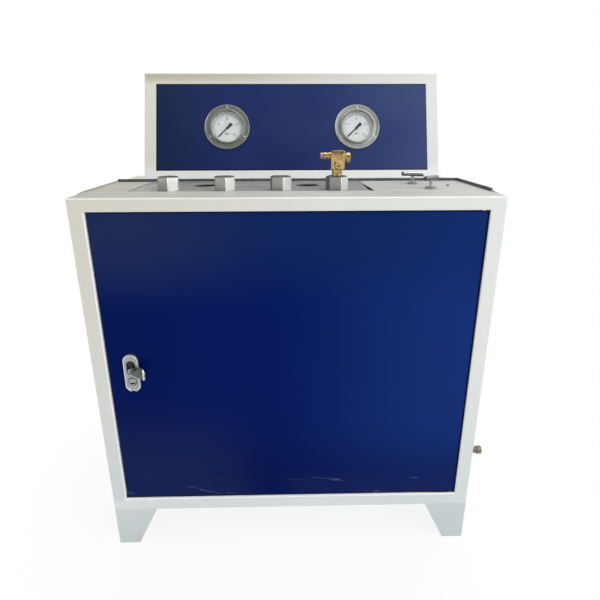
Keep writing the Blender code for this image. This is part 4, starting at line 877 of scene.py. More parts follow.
def side_wall(side):
    """A wall's section with rounded bends into its two flanges, carried from front to back."""
    out, back, s = HALF, HALF - FLANGE, SHEET
    section = rounded([
        (out, FOOT), (out, UNDER_TOP), (back, UNDER_TOP), (back, UNDER_TOP - s),
        (out - s, UNDER_TOP - s), (out - s, FOOT + s), (back, FOOT + s), (back, FOOT),
    ], [0.0016, 0.0016, 0, 0, 0.0005, 0.0005, 0, 0])
    x, z = side * section[:, 0], section[:, 1]
    wall = capped(np.stack([np.column_stack([x, np.full(len(x), y), z]) for y in (FRAME_DEPTH + SEAM, DEPTH)]))
    name = "side_panel_right" if side > 0 else "side_panel_left"
    piece(f"{name}_folded", [wall], WHITE, name, even=True)


def feet():
    """Folded corner feet. Their thin plates keep the CAD form, with every edge rolled over, and a small fillet fills
    each front foot's seam with the frame."""
    rolled = 0.0012
    for name in ("foot_front_left", "foot_front_right", "foot_rear_left", "foot_rear_right"):
        eased(name, FOOT_WHITE, rolled, steps=3)
    fillet = np.array([(0.00004, 0.1186), (0.00004, 0.1229), (0.0026, 0.1204), (0.0026, 0.1186)])
    seams = [bar(fillet, side * FOOT_INNER, side * (HALF - rolled)) for side in (-1, 1)]
    piece("foot_weld_fillets", seams, FOOT_WHITE)


# Worktop

def worktop():
    """The sheet with its cut-out and valve holes, its front edge rolled down over the frame, and a low upstand on
    the left, the back and the right that rises along the first part of each side."""
    r, s = TOP_BEND, SHEET
    start, corner, edge = 0.0045, 0.0006, 0.00045
    wider, narrower = 0.0035, 0.0055
    x0, x1, y0, y1 = CUTOUT
    holes = [rounded([(x0, y0), (x1 + wider, y0), (x1 - narrower, y1), (x0, y1)], 0.0015, 5)]
    holes += [circle(x, y, VALVE_HOLE, 40) for _, x, y, _ in VALVES]
    flat = sheet_cut(oblong(-HALF, HALF, start, WORKTOP_DEPTH, corner, 2), holes, s, edge, (0, 0, TOP - s / 2))
    outer = [(b, TOP - a) for a, b in bend(r, 7)]
    inner = [(s + b, TOP - s - a) for a, b in bend(r - s, 7)]
    overlap, under = start + corner, TOP - r - 0.0001
    nose = [(overlap, TOP), *outer, (0.0, under), (s, under), *inner[::-1], (overlap, TOP - s)]
    parts = [flat, bar(np.array(nose), -HALF, HALF)]
    foot, back, crest = TOP - 0.0003, WORKTOP_DEPTH, UPSTAND
    side = rounded([
        (UPSTAND_STARTS, foot), (UPSTAND_LEVEL - 0.002, crest - 0.0006), (UPSTAND_LEVEL, crest),
        (back, crest), (back, foot),
    ], [0, 0.002, 0.004, 0, 0], 3)
    parts += [bar(side, x, x + s) for x in (-HALF, HALF - s)]
    rear = [(back - s, foot), (back, foot), (back, crest - 0.0005), (back - s / 2, crest), (back - s, crest - 0.0005)]
    parts.append(bar(np.array(rear), -HALF + s, HALF - s))
    piece("worktop_sheet", parts, TOP_GREY, "worktop", even=True)
    plug = lathe(dome(0.0046, 0.0026), TOP_PLUG, Z, 32)
    piece("worktop_plug", [plug], BLACK_AND_SHADE, slot="rubber")


def rear_deck():
    """The flat sheet behind the worktop, with two holes under the gauge box and a flange down its front edge."""
    s, drop = SHEET, 0.030
    front, side = WORKTOP_DEPTH + SEAM, HALF - FLANGE - SEAM
    holes = [circle(BOX_X + x, TUBE_HOLES_Y, TUBE_HOLE, 40) for x in GAUGE_X]
    flat = sheet_cut(oblong(-HALF, HALF, front, DEPTH, 0.0012), holes, s, 0.0005, (0, 0, TOP - s / 2))
    flange = bar(oblong(front, front + s, TOP - drop, TOP - s, 0.0004, 2), -side, side)
    piece("rear_deck_sheet", [flat, flange], WHITE, "rear_deck", even=True)


def edgings():
    """U-section rubber pushed over the upstands, its crown a half circle, a little wavy along its length."""
    inner = SHEET / 2 + SEAM
    out = inner + EDGING_WALL
    foot, roof, top = TOP + SEAM, TOP + 0.0043, TOP + 0.008
    crown = [(out * math.cos(a), top - out + out * math.sin(a)) for a in np.linspace(math.pi, 0, 11)]
    hollow = [(inner, foot), (inner, roof), (-inner, roof), (-inner, foot)]
    section = np.array([(-out, foot), *crown, (out, foot), *hollow])

    def strip(start, end, at, along, across):
        """The section carried along the upstand's middle. Sines sway it sideways and lift its crown."""
        s = np.linspace(start, end, 90)[:, None, None]
        sway = 0.00022 * np.sin(s * 61) + 0.00015 * np.sin(s * 143 + 1.0)
        lift = 0.00016 * np.sin(s * 47 + 0.5)
        over, up = section[:, :1], section[:, 1:]
        return capped((at + over + sway) * across + (up + lift * (up > roof)) * Z + s * along)

    side_x, back_y = HALF - SHEET / 2, WORKTOP_DEPTH - SHEET / 2
    right = strip(EDGING_STARTS, back_y - out - 0.0002, side_x, Y, X)
    back = strip(0.0018 - HALF, side_x + out, back_y, X, Y)
    piece("edging_right_strip", [right], RUBBER, "edging_right")
    piece("edging_back_strip", [back], RUBBER, "edging_back")


def station_plate():
    """The sunk plate: round drains, and a right end cut a little out of square, which leaves a dark wedge of a gap."""
    x0, x1, y0, y1 = CUTOUT
    left, front, back, right = x0 - PLATE_LAP, y0 - PLATE_LAP, y1 + PLATE_LAP, x1 + 0.007
    outline = [
        (left, front), (right, front), (right, y0 - 0.0006), (x1 - 0.0065, y0 + 0.001),
        (x1 - 0.0040, y1 - 0.050), (right, y1 - 0.046), (right, back), (left, back),
    ]
    holes = [circle(x, DRAIN_Y, DRAIN_RADIUS, 96) for x in DRAINS]
    holes += [circle(x, STATION_Y, STATION_HOLE, 48) for x in STATIONS]
    plate = sheet_cut(outline, holes, PLATE_THICK, 0.0005, (0, 0, UNDER_TOP - PLATE_THICK / 2))
    piece("station_plate_sheet", [plate], PLATE, "station_plate", even=True)


def sockets():
    """Hexagons with cone-cut crowns and threaded bores: the bore's radius is a small sine along its depth."""
    mouth, middle, depth = 0.0123, 0.0119, 0.0005
    floor, duct, bottom = 0.0098, 0.004, 0.002
    s = np.linspace(0.0335, 0.010, 60)
    thread = np.column_stack([middle + depth * np.sin(s * 2 * math.pi / THREAD_PITCH), s])
    well = [(0.0112, floor), (duct, floor), (duct, bottom), (0, bottom)]
    bore = np.concatenate([[(mouth, SOCKET_TALL)], thread, well])
    for i, (x, turn) in enumerate(zip(STATIONS, STATION_TURNS), start=1):
        origin = np.array([x, STATION_Y, UNDER_TOP + SEAM])
        parts = [
            hex_nut(origin, Z, heading(turn - 90), SOCKET_FLATS, 0.0, SOCKET_TALL, mouth, 0.955, 0.62),
            lathe(bore, origin, Z, 64),
            turned([(0, -15.6, 0), (15, -15.6, 1.2), (15, 0, 0), (0, 0, 0)], origin, Z, 48),
        ]
        piece(f"test_socket_{i}_turned", parts, SOCKET, f"test_socket_{i}")


# Door

def door():
    """A pan: each row is a rectangle that comes forward along the return, bends into the face, meets the lock's
    window and goes back one sheet behind."""
    s, face, lip, back = SHEET, DOOR_FACE, DOOR_BEND + LIP, DOOR_FACE + DOOR_RETURN
    window = (LOCK_X - LOCK_WINDOW, LOCK_X + LOCK_WINDOW, LOCK_LOW + LOCK_INSET, LOCK_LOW + LOCK_LONG - LOCK_INSET)
    rows = [(DOOR, 0, back)]
    rows += [(DOOR, -a, face + b) for a, b in bend(DOOR_BEND, 6)]
    rows += [(window, 0.0002, face), (window, 0, face + 0.0002), (window, 0, face + s)]
    rows += [(DOOR, -lip, face + s), (DOOR, -s, face + lip), (DOOR, -s, back)]
    piece("door_panel_folded", [folded(rows)], BLUE, "door_panel", "door", even=True)
    eased("door_stiffener", BLUE, 0.0004, "door")
    depth = face + s + SEAM + STIFFENER
    rivets = [lathe(dome(0.0042, 0.0016), (x, depth, z), Y, 24) for x in RIVETS_X for z in RIVETS_Z]
    piece("stiffener_rivets", rivets, ZINC, body="door")


# Lock

def lock_outline():
    """A tongue: half circle above, straight sides, cut lower corners and a shallow notch in the lower edge."""
    half = LOCK_WIDE / 2
    t = np.linspace(0, math.pi, 25)
    arc = np.column_stack([half * np.cos(t), LOCK_LONG - half + half * np.sin(t)])
    low = [(-half, 0.010), (-0.009, 0.0), (-0.0045, 0.0), (0, 0.003), (0.0045, 0.0), (0.009, 0.0), (half, 0.010)]
    return np.concatenate([arc, rounded(low, [0, 0.0022, 0.001, 0.0015, 0.001, 0.0022, 0], 3, closed=False)])


def on_plate(loop, depth):
    """A loop of points on the lock plate: across, up from its lower end, and back from its front face."""
    return np.array([LOCK_X, 0, LOCK_LOW]) + loop[:, :1] * X + loop[:, 1:] * Z + (depth + LOCK_FRONT) * Y


def cup(loop, middle, depth):
    """A pocket: the loop is carried back with a slight draft, rounds into a floor and closes on its middle."""
    steps = ((1.0, 0.0012), (0.985, depth - 0.0022), (0.955, depth - 0.0006), (0.90, depth), (0.0, depth))
    return skin(np.stack([on_plate(middle + (loop - middle) * share, back) for share, back in steps]))


def lock():
    """A plate with a raised rim, a long well for the lever and a pocket for the push button. The button is a ring
    round the key plug. The hub turns in the plate and holds the lever's pin between its ears."""
    outline = lock_outline()
    well_low, well_high = LOCK_LONG - 0.058, LOCK_LONG - 0.018
    well = stadium(0, well_low, well_high, 0.011)
    button_z = BUTTON_Z - LOCK_LOW
    pocket = circle(0, button_z, BUTTON_HOLE, 48)
    seat = np.array([LOCK_X, 0, LOCK_LOW])
    front = seat + Y * (LOCK_FRONT + LOCK_FACE / 2)
    face = sheet_cut(outline, [well, pocket], LOCK_FACE, 0.0013, front, X, Z, Y)
    centre = np.array([0, LOCK_LONG / 2])
    rim = (
        (0.995, 0.0006), (0.985, -0.0003), (0.965, -0.0010), (0.92, -0.0014),
        (0.86, -0.0011), (0.825, -0.0003), (0.815, 0.0006),
    )
    band = [on_plate(centre + (outline - centre) * [k, 1 - (1 - k) * 0.42], depth) for k, depth in rim]
    # The rim's lighter finish is a painted highlight.
    piece("lock_rim_raised", [skin(np.stack(band), True)], LOCK_RIM, body="door", keen=50)
    shaded = cup(well, np.array([0, (well_high + well_low) / 2]), 0.0120)
    piece("lock_well", [shaded], LOCK_WELL, body="door", keen=50)
    body = bar(profile([(-14, 8, 2), (14, 8, 2), (14, 95, 2), (-14, 95, 2)]), 0.0094, 0.022, seat, X, Z, Y)
    parts = [face, cup(pocket, np.array([0, button_z]), 0.0192), body]
    piece("lock_plate_cast", parts, LOCK, "lock_plate", "door", keen=38, even=True)
    eased("lock_clamp", ZINC, 0.0005, "door")

    spot = np.array([LOCK_X, LOCK_FRONT, BUTTON_Z])
    ring = [(9, -0.8, 0.2), (9.4, -1.6, 0.3), (10, -1.6, 0.3), (10.5, -0.9, 0.4), (10.5, 8, 0.3), (9, 8, 0.3)]
    piece("lock_button_ring", [turned(ring, spot, Y, 56)], LOCK, "lock_button", "push_button")
    keyway = oblong(-0.0066, 0.0066, -0.0064, -0.0020, 0.0004, 3)
    plate = sheet_cut(circle(0, 0, KEY_PLUG, 56), [keyway], 0.0006, 0.0001, spot - Y * 0.0009, X, Z, Y)
    piece("key_plug_face", [plate], LOCK, "key_plug", "key_barrel")
    # Painted shade: a near-black disc behind the keyway.
    floor = sheet_cut(circle(0, 0, KEY_PLUG - SEAM, 40), [], 0.005, 0.0003, spot + Y * 0.0022, X, Z, Y)
    piece("keyway_dark", [floor], BLACK_AND_SHADE, body="key_barrel", slot="zinc_steel")

    hub = np.array([LOCK_X, 0, HUB_Z])
    pin = hub - Y * PIN_OUT
    head = [(0, -2, 0), (9, -2, 1), (9, 12.7, 0.4), (5, 12.7, 0.4), (5, 33.5, 0.6), (0, 33.5, 0)]
    ear = profile([(-4.5, -8.8, 3), (4.5, -8.8, 3), (4.5, -4, 0), (-4.5, -4, 0)], 4)
    parts = [turned(head, hub + Y * LOCK_FRONT, Y, 48)]
    middle, half = 0.00675, 0.00172
    parts += [bar(ear, z - half, z + half, hub, X, Y, Z) for z in (-middle, middle)]
    parts.append(turned([(0, -8.6, 0), (1.8, -8.6, 0), (1.8, 8.6, 0), (0, 8.6, 0)], pin, Z, 20))
    piece("lock_hub", parts, LOCK, "lock_spindle", "lock_shaft")
    eased("lock_cam", ZINC, 0.0004, "lock_shaft")
    handle(pin)


def handle(pin):
    """A hollow die-cast lever that widens to a paddle. Across it, the section is a shell: a crowned back and two side
    walls with an open underside. Along it, width and crown follow smooth curves: a waist, a spread to 32 mm and a
    rounded end. The whole is turned 30 degrees out."""
    u = np.array([math.cos(LEVER_TURN), -math.sin(LEVER_TURN), 0.0])
    n = np.array([-math.sin(LEVER_TURN), -math.cos(LEVER_TURN), 0.0])
    waist, spread, paddle, end = 0.0088, 0.0072, 0.0380, 0.0080
    s = np.concatenate([np.linspace(0.0094, paddle, 24), paddle + end * np.sin(np.linspace(0, math.pi / 2, 14)[1:])])
    share = (s - s[0]) / (s[-1] - s[0])
    widen = np.clip((s - 0.0135) / 0.0215, 0, 1)
    tip = np.clip((s - 0.0375) / 0.0087, 0, 1)
    half = (waist + spread * widen * widen * (3 - 2 * widen)) * np.clip(1 - tip ** 2.6, 0.02, 1) ** 0.5
    crown = 0.0030 - 0.0004 * share
    rise = 0.0010 * np.sin(share * math.pi)
    t = np.linspace(-1, 1, 25)
    outer = rise[:, None] + crown[:, None] * (0.15 + 0.85 * (1 - np.abs(t) ** 5))

    def at(z, off):
        """A row of points across the lever. The paddle sits a little high and its end edge slants."""
        swell = ((half - half[0]) / spread)[:, None].clip(0, 1)
        along, up, off = s[:, None] - 0.19 * z * swell, z + 0.0035 * swell, np.broadcast_to(off, z.shape)
        return pin + along[..., None] * u + off[..., None] * n + up[..., None] * Z

    floor = -0.0028
    thin = np.clip(half - LEVER_WALL, 0.0004, 1)[:, None]
    sides = np.array([[1.0, -1.0]])
    top = at(half[:, None] * t, outer)
    under = at(thin * t[::-1], np.maximum(outer[:, ::-1] - LEVER_WALL - 0.0002, floor + 0.0006))
    edge_out = at(half[:, None] * sides, floor)
    edge_in = at(thin * sides, floor)
    ring = np.concatenate([top, edge_out[:, :1], edge_in[:, :1], under, edge_in[:, 1:], edge_out[:, 1:]], axis=1)
    first, last = (np.broadcast_to(ring[i].mean(0), ring[i:][:1].shape) for i in (0, -1))
    shell = skin(np.concatenate([first, ring, last]))
    knuckle = profile([(-3, -2.8, 2.8), (10.5, -2.8, 0), (10.5, 3, 0), (-3, 3, 2.8)], 5)
    neck = bar(knuckle, -0.0046, 0.0046, pin, u, n, Z)
    piece("lock_handle_cast", [shell, neck], LEVER, "lock_handle", "lock_lever", keen=50)


# Gauge box

def on_face(x, v, w):
    """A point on the box's leaning face: across, up the slope, and into the box."""
    x, v, w = (np.asarray(a, float)[..., None] for a in (x, v, w))
    return BOX_FOOT + x * ACROSS + v * UP_SLOPE + w * INTO_BOX


def gauge_box():
    """The shell in rows of six corners: the skin comes forward over top and sides, bends into the leaning face and
    then into the window, and goes back one sheet further in. At the foot the side columns fold onto the face."""
    r, s = BOX_BEND, SHEET
    x0, x1, v0, v1 = WINDOW

    def rear(inset):
        """A row whose sides and top reach back to the box's cover."""
        x = np.array([inset - BOX_HALF, BOX_HALF - inset])
        front = on_face(x, SEAM, inset)
        side, top = (BOX_FOOT + np.stack([x, [BOX_BACK] * 2, [z] * 2], -1) for z in (SEAM, BOX_HIGH - inset))
        return [front[0], side[0], top[0], top[1], side[1], front[1]]

    def face(inset, top_v, top_w, side_w):
        """A row on the leaning face. Both side corners of a column fold onto its foot."""
        x = np.array([inset - BOX_HALF, BOX_HALF - inset])
        low, top = on_face(x, SEAM, side_w), on_face(x, top_v, top_w)
        return [low[0], low[0], top[0], top[1], low[1], low[1]]

    def window(out, depth):
        """A row round the window, set outwards by a distance, at a depth."""
        v = on_face([x0 - out, x1 + out, x0 - out, x1 + out], [v0 - out, v0 - out, v1 + out, v1 + out], depth)
        return [v[0], v[0], v[2], v[3], v[1], v[1]]

    turn = math.pi / 2 - LEAN
    reach = r * math.tan(turn / 2)
    rows = [rear(0)]
    for k in np.linspace(1, 0, 6):
        a, b = k * math.pi / 2, k * turn
        top_v, top_w = SLOPE - reach + r * math.sin(b), r - r * math.cos(b)
        rows.append(face(r - r * math.sin(a), top_v, top_w, r - r * math.cos(a)))
    rows += [window(b, a) for a, b in bend(0.0012, 4)]
    rows += [window(0, s), window(0.004, s), face(r + LIP, SLOPE - r - 0.001, s, s), rear(s)]
    piece("gauge_box_folded", [skin(rows, True)], BOX_WHITE, "gauge_box_shell", even=True)

    panel = oblong(x0 - PANEL_LAP, x1 + PANEL_LAP, v0 - PANEL_LAP, v1 + PANEL_LAP, 0.002)
    holes = [circle(x, GAUGE_V, GAUGE_HOLE, 96) for x in GAUGE_X]
    middle = BOX_FOOT + INTO_BOX * (PANEL_BEHIND + s / 2)
    blue = sheet_cut(panel, holes, s, 0.0003, middle, ACROSS, UP_SLOPE, INTO_BOX)
    piece("gauge_panel_sheet", [blue], BLUE_PANEL, "gauge_panel", even=True)
    eased("gauge_box_cover", WHITE, 0.0005)
    spots = [(x, BOX_BACK, z) for x in COVER_SCREWS_X for z in COVER_SCREWS_Z]
    screws = [lathe(dome(0.0048, 0.0021), BOX_FOOT + spot, Y, 24) for spot in spots]
    piece("cover_screws", screws, ZINC)


# Gauges

def gauge_case(name, x):
    """A turned case: a dished flange with a rolled rim, a bezel standing out of it and a drum behind the panel. Its
    other turned parts are the dial's wall, the glass and the dial."""

    def part(kind, table, sides, steps, *rest, keen=40):
        """A part turned round the gauge's axis."""
        shape = turned(table, on_face(x, GAUGE_V, 0.0), INTO_BOX, sides, UP_SLOPE, steps)
        piece(f"{name}_{kind}", [shape], *rest, keen=keen)

    part("case_turned", [
        (7.3, 38, 0), (51, 38, 2), (51, 1.5, 0.6), (65.5, 1.5, 0.6), (67.2, 0.6, 0.8), (67.2, -1.6, 0.9),
        (65.5, -2.2, 0.8), (64, -0.9, 1), (57.5, -0.4, 4), (52.8, -0.7, 1.2), (51.2, -4.6, 1.6), (49.4, -6.4, 1),
        (48.4, -5.6, 0.6), (47.4, -3.6, 0.6), (47, 7.5, 0.3), (47, 8, 0.3), (46.8, 35.5, 2), (7.3, 35.5, 0),
    ], 128, 4, GAUGE, f"{name}_case")
    part("bezel", [
        (50.2, -6.3, 0.4), (49.5, -6.9, 0.5), (48.6, -6.9, 0.6), (45.6, -3.2, 0.4), (45.6, -2.1, 0.1),
        (46.7, -2.1, 0.1), (48.4, -5.2, 0.4), (49, -5.8, 0.5), (49.8, -5.8, 0.3),
    ], 128, 4, BEZEL)
    wall = [(46.8, -1.9, 0.1), (46, -1.9, 0.1), (45.6, 7.7, 0.1), (46.8, 7.7, 0.1)]
    part("dial_wall", wall, 128, 2, DIAL)
    pane = [(0, -4.2, 0), (45.4, -4.2, 0.3), (45.4, -2.4, 0.3), (0, -2.4, 0)]
    part("glass_pane", pane, 96, 2, GLASS, f"{name}_window", keen=32)
    screws = []
    for clock in (0, 120, 240):
        across, up = FLANGE_SCREWS * math.sin(math.radians(clock)), FLANGE_SCREWS * math.cos(math.radians(clock))
        screws.append(lathe(dome(0.0038, 0.0019), on_face(x + across, GAUGE_V + up, -0.0006), -INTO_BOX, 28))
    piece(f"{name}_flange_screws", screws, CHROME)
    disc = [(3, 8, 0.1), (46.6, 8, 0.3), (46.6, 9, 0.3), (3, 9, 0.1)]
    part("dial_disc", disc, 96, 2, DIAL, f"{name}_dial", keen=32)


def word(text, size, x, v):
    """A number or unit on the dial as flat thickened letters, centred on a spot of the leaning face."""
    curve = bpy.data.curves.new("word", "FONT")
    curve.body = text
    curve.size = size
    curve.extrude = 0.00003
    curve.offset = size * 0.008
    curve.align_x = "CENTER"
    curve.align_y = "CENTER"
    points, faces = filled(curve)
    return on_face(x + points[:, 0], v + points[:, 1], DIAL_FACE - points[:, 2]), faces


def gauge_scale(name, x):
    """A scale of 270 degrees. Each mark is a four-sided strip between two radii, set across its angle by a half width,
    and an arc joins their outer ends."""
    order = np.arange(MARKS)
    numbered, half_way = order % 8 == 0, order % 4 == 0
    near = np.where(numbered, 0.0335, np.where(half_way, 0.0355, 0.0372))
    side = np.where(numbered, 0.00050, 0.00028)[:, None] * [-1, 1, 1, -1]
    out = np.stack([near, near, np.full(MARKS, SCALE_RADIUS), np.full(MARKS, SCALE_RADIUS)], -1)
    angle = np.radians(ZERO + np.linspace(0, SWEEP, MARKS))[:, None]
    sin, cos = np.sin(angle), np.cos(angle)
    marks = on_face(x + out * sin + side * cos, GAUGE_V + out * cos - side * sin, DIAL_FACE)
    parts = [(marks.reshape(-1, 3), np.arange(MARKS * 4).reshape(MARKS, 4).tolist())]
    angle = np.radians(ZERO + np.linspace(0, SWEEP, 91))
    radius = SCALE_RADIUS + np.array([[-0.0002], [0.0004]])
    arc = on_face(x + radius * np.sin(angle), GAUGE_V + radius * np.cos(angle), DIAL_FACE)
    parts.append(skin(arc, False, False))
    for i, number in enumerate(("0", "4", "8", "12", "16")):
        a = math.radians(ZERO + SWEEP / 4 * i)
        parts.append(word(number, 0.0092, x + NUMBER_RADIUS * math.sin(a), GAUGE_V + NUMBER_RADIUS * math.cos(a)))
    parts.append(word("MPa", 0.0072, x, GAUGE_V - UNIT_BELOW))
    piece(f"{name}_scale", parts, PRINT)


def gauge_pointer(name, side, x):
    """A thin blade that widens to a flared tail, on a round hub, turned to the zero mark."""
    zero = math.radians(ZERO)
    u = ACROSS * math.sin(zero) + UP_SLOPE * math.cos(zero)
    v = ACROSS * math.cos(zero) - UP_SLOPE * math.sin(zero)
    origin = on_face(x, GAUGE_V, 0.0055)
    upper = [(38, 1.4, 0.3), (4, 2, 4), (-3, 2.2, 4), (-17.8, 5.2, 1)]
    outline = profile(upper + [(along, -half, r) for along, half, r in upper[::-1]])
    plate = sheet_cut(outline, [], 0.0009, 0.0002, origin, u, v, INTO_BOX)
    hub = [(0, -1.1, 0), (3, -1.1, 0.3), (3.4, -0.6, 0.2), (3.4, 1, 0.2), (0, 1, 0)]
    parts = [plate, turned(hub, origin, INTO_BOX, 40, steps=2)]
    piece(f"{name}_pointer_blade", parts, POINTER, f"{name}_pointer", f"{side}_pointer")
    eased(f"{name}_movement", BRASS_ROUND, 0.0004)


# Needle valves with cross bars

def needle_valve(name, x, y, turn):
    """A washer and panel nut on the worktop, a square body under it, and a stem that carries the cross bar. The neck's
    profile starts inside the body, so that no two faces coincide there."""
    base = np.array([x, y, TOP])
    ref = heading(turn)
    washer = turned([(9.5, 0.3, 0.4), (14, 0.3, 0.4), (14, 2.1, 0.4), (9.5, 2.1, 0.4)], base, Z, 64)
    low, high = 0.0021, 0.0063
    nut = hex_nut(base, Z, ref, PANEL_NUT_FLATS, low, high, VALVE_HOLE, 0.96, 0.5, True)
    piece(f"{name}_nut", [washer, nut], CHROME, f"{name}_panel_nut")
    neck = profile([
        (0, -41.8, 0), (10, -41.8, 1), (10, -12, 0), (9, -10, 0.5), (9, 4.5, 0.4), (8.5, 5, 0.3), (6.2, 5, 0.3),
        (4.5, 4.2, 0.3), (0, 4.2, 0),
    ])[2:]
    block = profile([(-16, -41.8, 1.2), (16, -41.8, 1.2), (16, -1.8, 1.2), (-16, -1.8, 1.2)])
    parts = [bar(block, -0.016, 0.016, base, X, Z, Y), lathe(neck, base, Z, 48)]
    piece(f"{name}_body_block", parts, BRASS, f"{name}_valve_body")
    stem = [
        (0, -18, 0), (2.5, -18, 0.4), (4, -15.5, 1), (4, 7.5, 0.5), (3.6, 8.5, 1), (3.6, 16.5, 1), (4.2, 18, 0.6),
        (4.2, 19.5, 0.6), (3, 20.7, 0.4), (3, 26.7, 0.4), (0, 26.7, 0),
    ]
    piece(f"{name}_stem_turned", [turned(stem, base, Z, 40)], CHROME, f"{name}_stem", f"{name}_screw")
    rod = [(0, -31, 0), (4.8, -31, 0.6), (6, -29.8, 0.6), (6, 29.8, 0.6), (4.8, 31, 0.6), (0, 31, 0)]
    rod = turned(rod, base + Z * BAR_RISE, ref, 40, steps=4)
    piece(f"{name}_cross_bar", [rod], BARS[name], f"{name}_t_bar", f"{name}_bar")


# Valve under test

def sample_valve():
    """A tee of square brass bar: a domed square body on a turned neck, an outlet nut, a boss and a gland. The body is
    its front outline carried back, drawn in towards its middle at both ends for the eased edges."""
    base = np.array([STATIONS[-1], STATION_Y, SOCKET_TOP + SEAM])
    left, right, low, top = -0.0164, 0.0174, 0.016, 0.0615
    outline = rounded([
        (left, low), (right, low), (right, top - 0.002), (right - 0.004, top), (left + 0.004, top), (left, top - 0.002),
    ], [0.0012, 0.0012, 0.003, 0.003, 0.003, 0.003], 5)
    depth, ease = 0.015, 0.0011
    a = np.linspace(0, math.pi / 2, 5)
    deep = depth - ease + ease * np.cos(a)
    shrink = 1 - ease * (1 - np.sin(a)) / 0.016
    y = np.concatenate([[-depth], -deep, deep[::-1], [depth]])
    shrink = np.concatenate([[0], shrink, shrink[::-1], [0]])[:, None, None]
    middle = outline.mean(0)
    drawn = middle + (outline - middle) * shrink
    block = skin(base + drawn[..., :1] * X + y[:, None, None] * Y + drawn[..., 1:] * Z)
    neck = turned([
        (0, -18, 0), (9.8, -18, 0.4), (10.7, -16.5, 0.4), (10.7, -1.2, 0.3), (13.8, -0.2, 0.6), (13.8, 4, 0.8),
        (13, 5.2, 0.5), (13, 7.5, 0.5), (13.8, 8.5, 0.8), (13.8, 12.8, 1), (15.2, 16.5, 0.6), (0, 16.5, 0),
    ], base, Z, 56)
    outlet_up, boss_up, arm_up = 0.0445, 0.0270, 0.049
    end = base + Z * outlet_up + X * right
    outlet = turned([
        (0, -4, 0), (10.8, -4, 0), (10.8, 0.6, 0.3), (11.2, 5.2, 0.4), (12, 6, 0.5), (12, 13.9, 0.8), (11, 15, 0.5),
        (6, 15, 0.5), (5, 14, 0.3), (5, 4, 0.3), (0, 4, 0),
    ], end, X, 56)
    inside, middle, height, pitch = 0.010, 0.0113, 0.0003, 0.0014
    s = np.linspace(0.0005, 0.0046, 20)
    groove = np.column_stack([middle + height * np.sin(s * 2 * math.pi / pitch), s])
    rings = lathe(np.concatenate([[(inside, s[0])], groove, [(inside, s[-1])]]), end, X, 48)
    boss = turned([
        (11.2, -0.5, 0), (10.4, 1.6, 0.6), (9.6, 2.4, 0.6), (9.6, 7.6, 0.8), (8.4, 9, 0.6), (4.8, 9, 0.3),
        (4, 8.2, 0.3), (4, 3, 0.3), (0, 3, 0),
    ], base + X * 0.0010 + Z * boss_up - Y * depth, -Y, 48)
    start = base + Z * arm_up + X * (left - SEAM)
    gland = [
        (5.3, 0, 0), (8.5, 0, 0.5), (8.5, 5, 0.4), (7.2, 6.2, 0.4), (7.2, 10.8, 0.4), (8.3, 11.8, 0.4), (8.3, 17, 0.6),
        (7.6, 18, 0.4), (5.3, 18, 0),
    ]
    head = [
        (0, -12.3, 0), (5, -12.3, 0.4), (5, 18.3, 0.3), (6.6, 18.6, 0.4), (7.2, 19.5, 0.6), (7.2, 25.3, 1),
        (6, 26.3, 0.6), (3, 26.3, 0.4), (2.2, 25, 0.4), (0, 25, 0),
    ]
    for tail, parts, finish, node, body in (
        ("tee", [block, neck, outlet, rings, boss], BRASS, "sample_valve_body", "sample_valve"),
        ("gland_turned", [turned(gland, start, -X, 48)], BRASS, "sample_valve_gland", "sample_valve"),
        ("spindle_turned", [turned(head, start, -X, 40)], COPPER, "sample_valve_spindle", "sample_spindle"),
    ):
        piece(f"sample_valve_{tail}", parts, finish, node, body, keen=38)


# Inlet and inner parts

def inlet():
    """A hexagon against the wall, a plug with a groove and a collar, bored through."""
    nut = hex_nut(INLET, X, Z, INLET_FLATS, SEAM, 0.0103, 0.0036, 0.95, 0.55)
    tail = turned([
        (3.5, -21.5, 0), (10, -21.5, 0.6), (10, 8, 0), (9, 11, 0.5), (9, 19, 0.6), (7.8, 20, 0.4), (7.8, 22.5, 0.4),
        (9, 23.5, 0.6), (9, 30.5, 0.6), (11.5, 31.5, 0.6), (11.5, 44, 0.8), (10.5, 45, 0.5), (4.5, 45, 0.5),
        (3.5, 43.8, 0.4),
    ], INLET, X, 56)
    piece("inlet_fitting_turned", [nut, tail], BRASS_DARK, "inlet_fitting")


def inner_parts():
    """The parts behind the door keep their CAD forms with eased edges, and the tubes only get their copper."""
    for node, finish, edge in (
        ("back_panel", WHITE_IN, 0.0004),
        ("base_panel", WHITE_IN, 0.0006),
        ("manifold", ZINC, 0.0008),
        ("pivot_pin_upper", ZINC, 0.0003),
        ("pivot_pin_lower", ZINC, 0.0003),
        ("supply_tube", COPPER, 0.0),
        ("feed_tube", COPPER, 0.0),
        ("gauge_left_tube", COPPER, 0.0),
        ("gauge_right_tube", COPPER, 0.0),
    ):
        eased(node, finish, edge)


# Stage

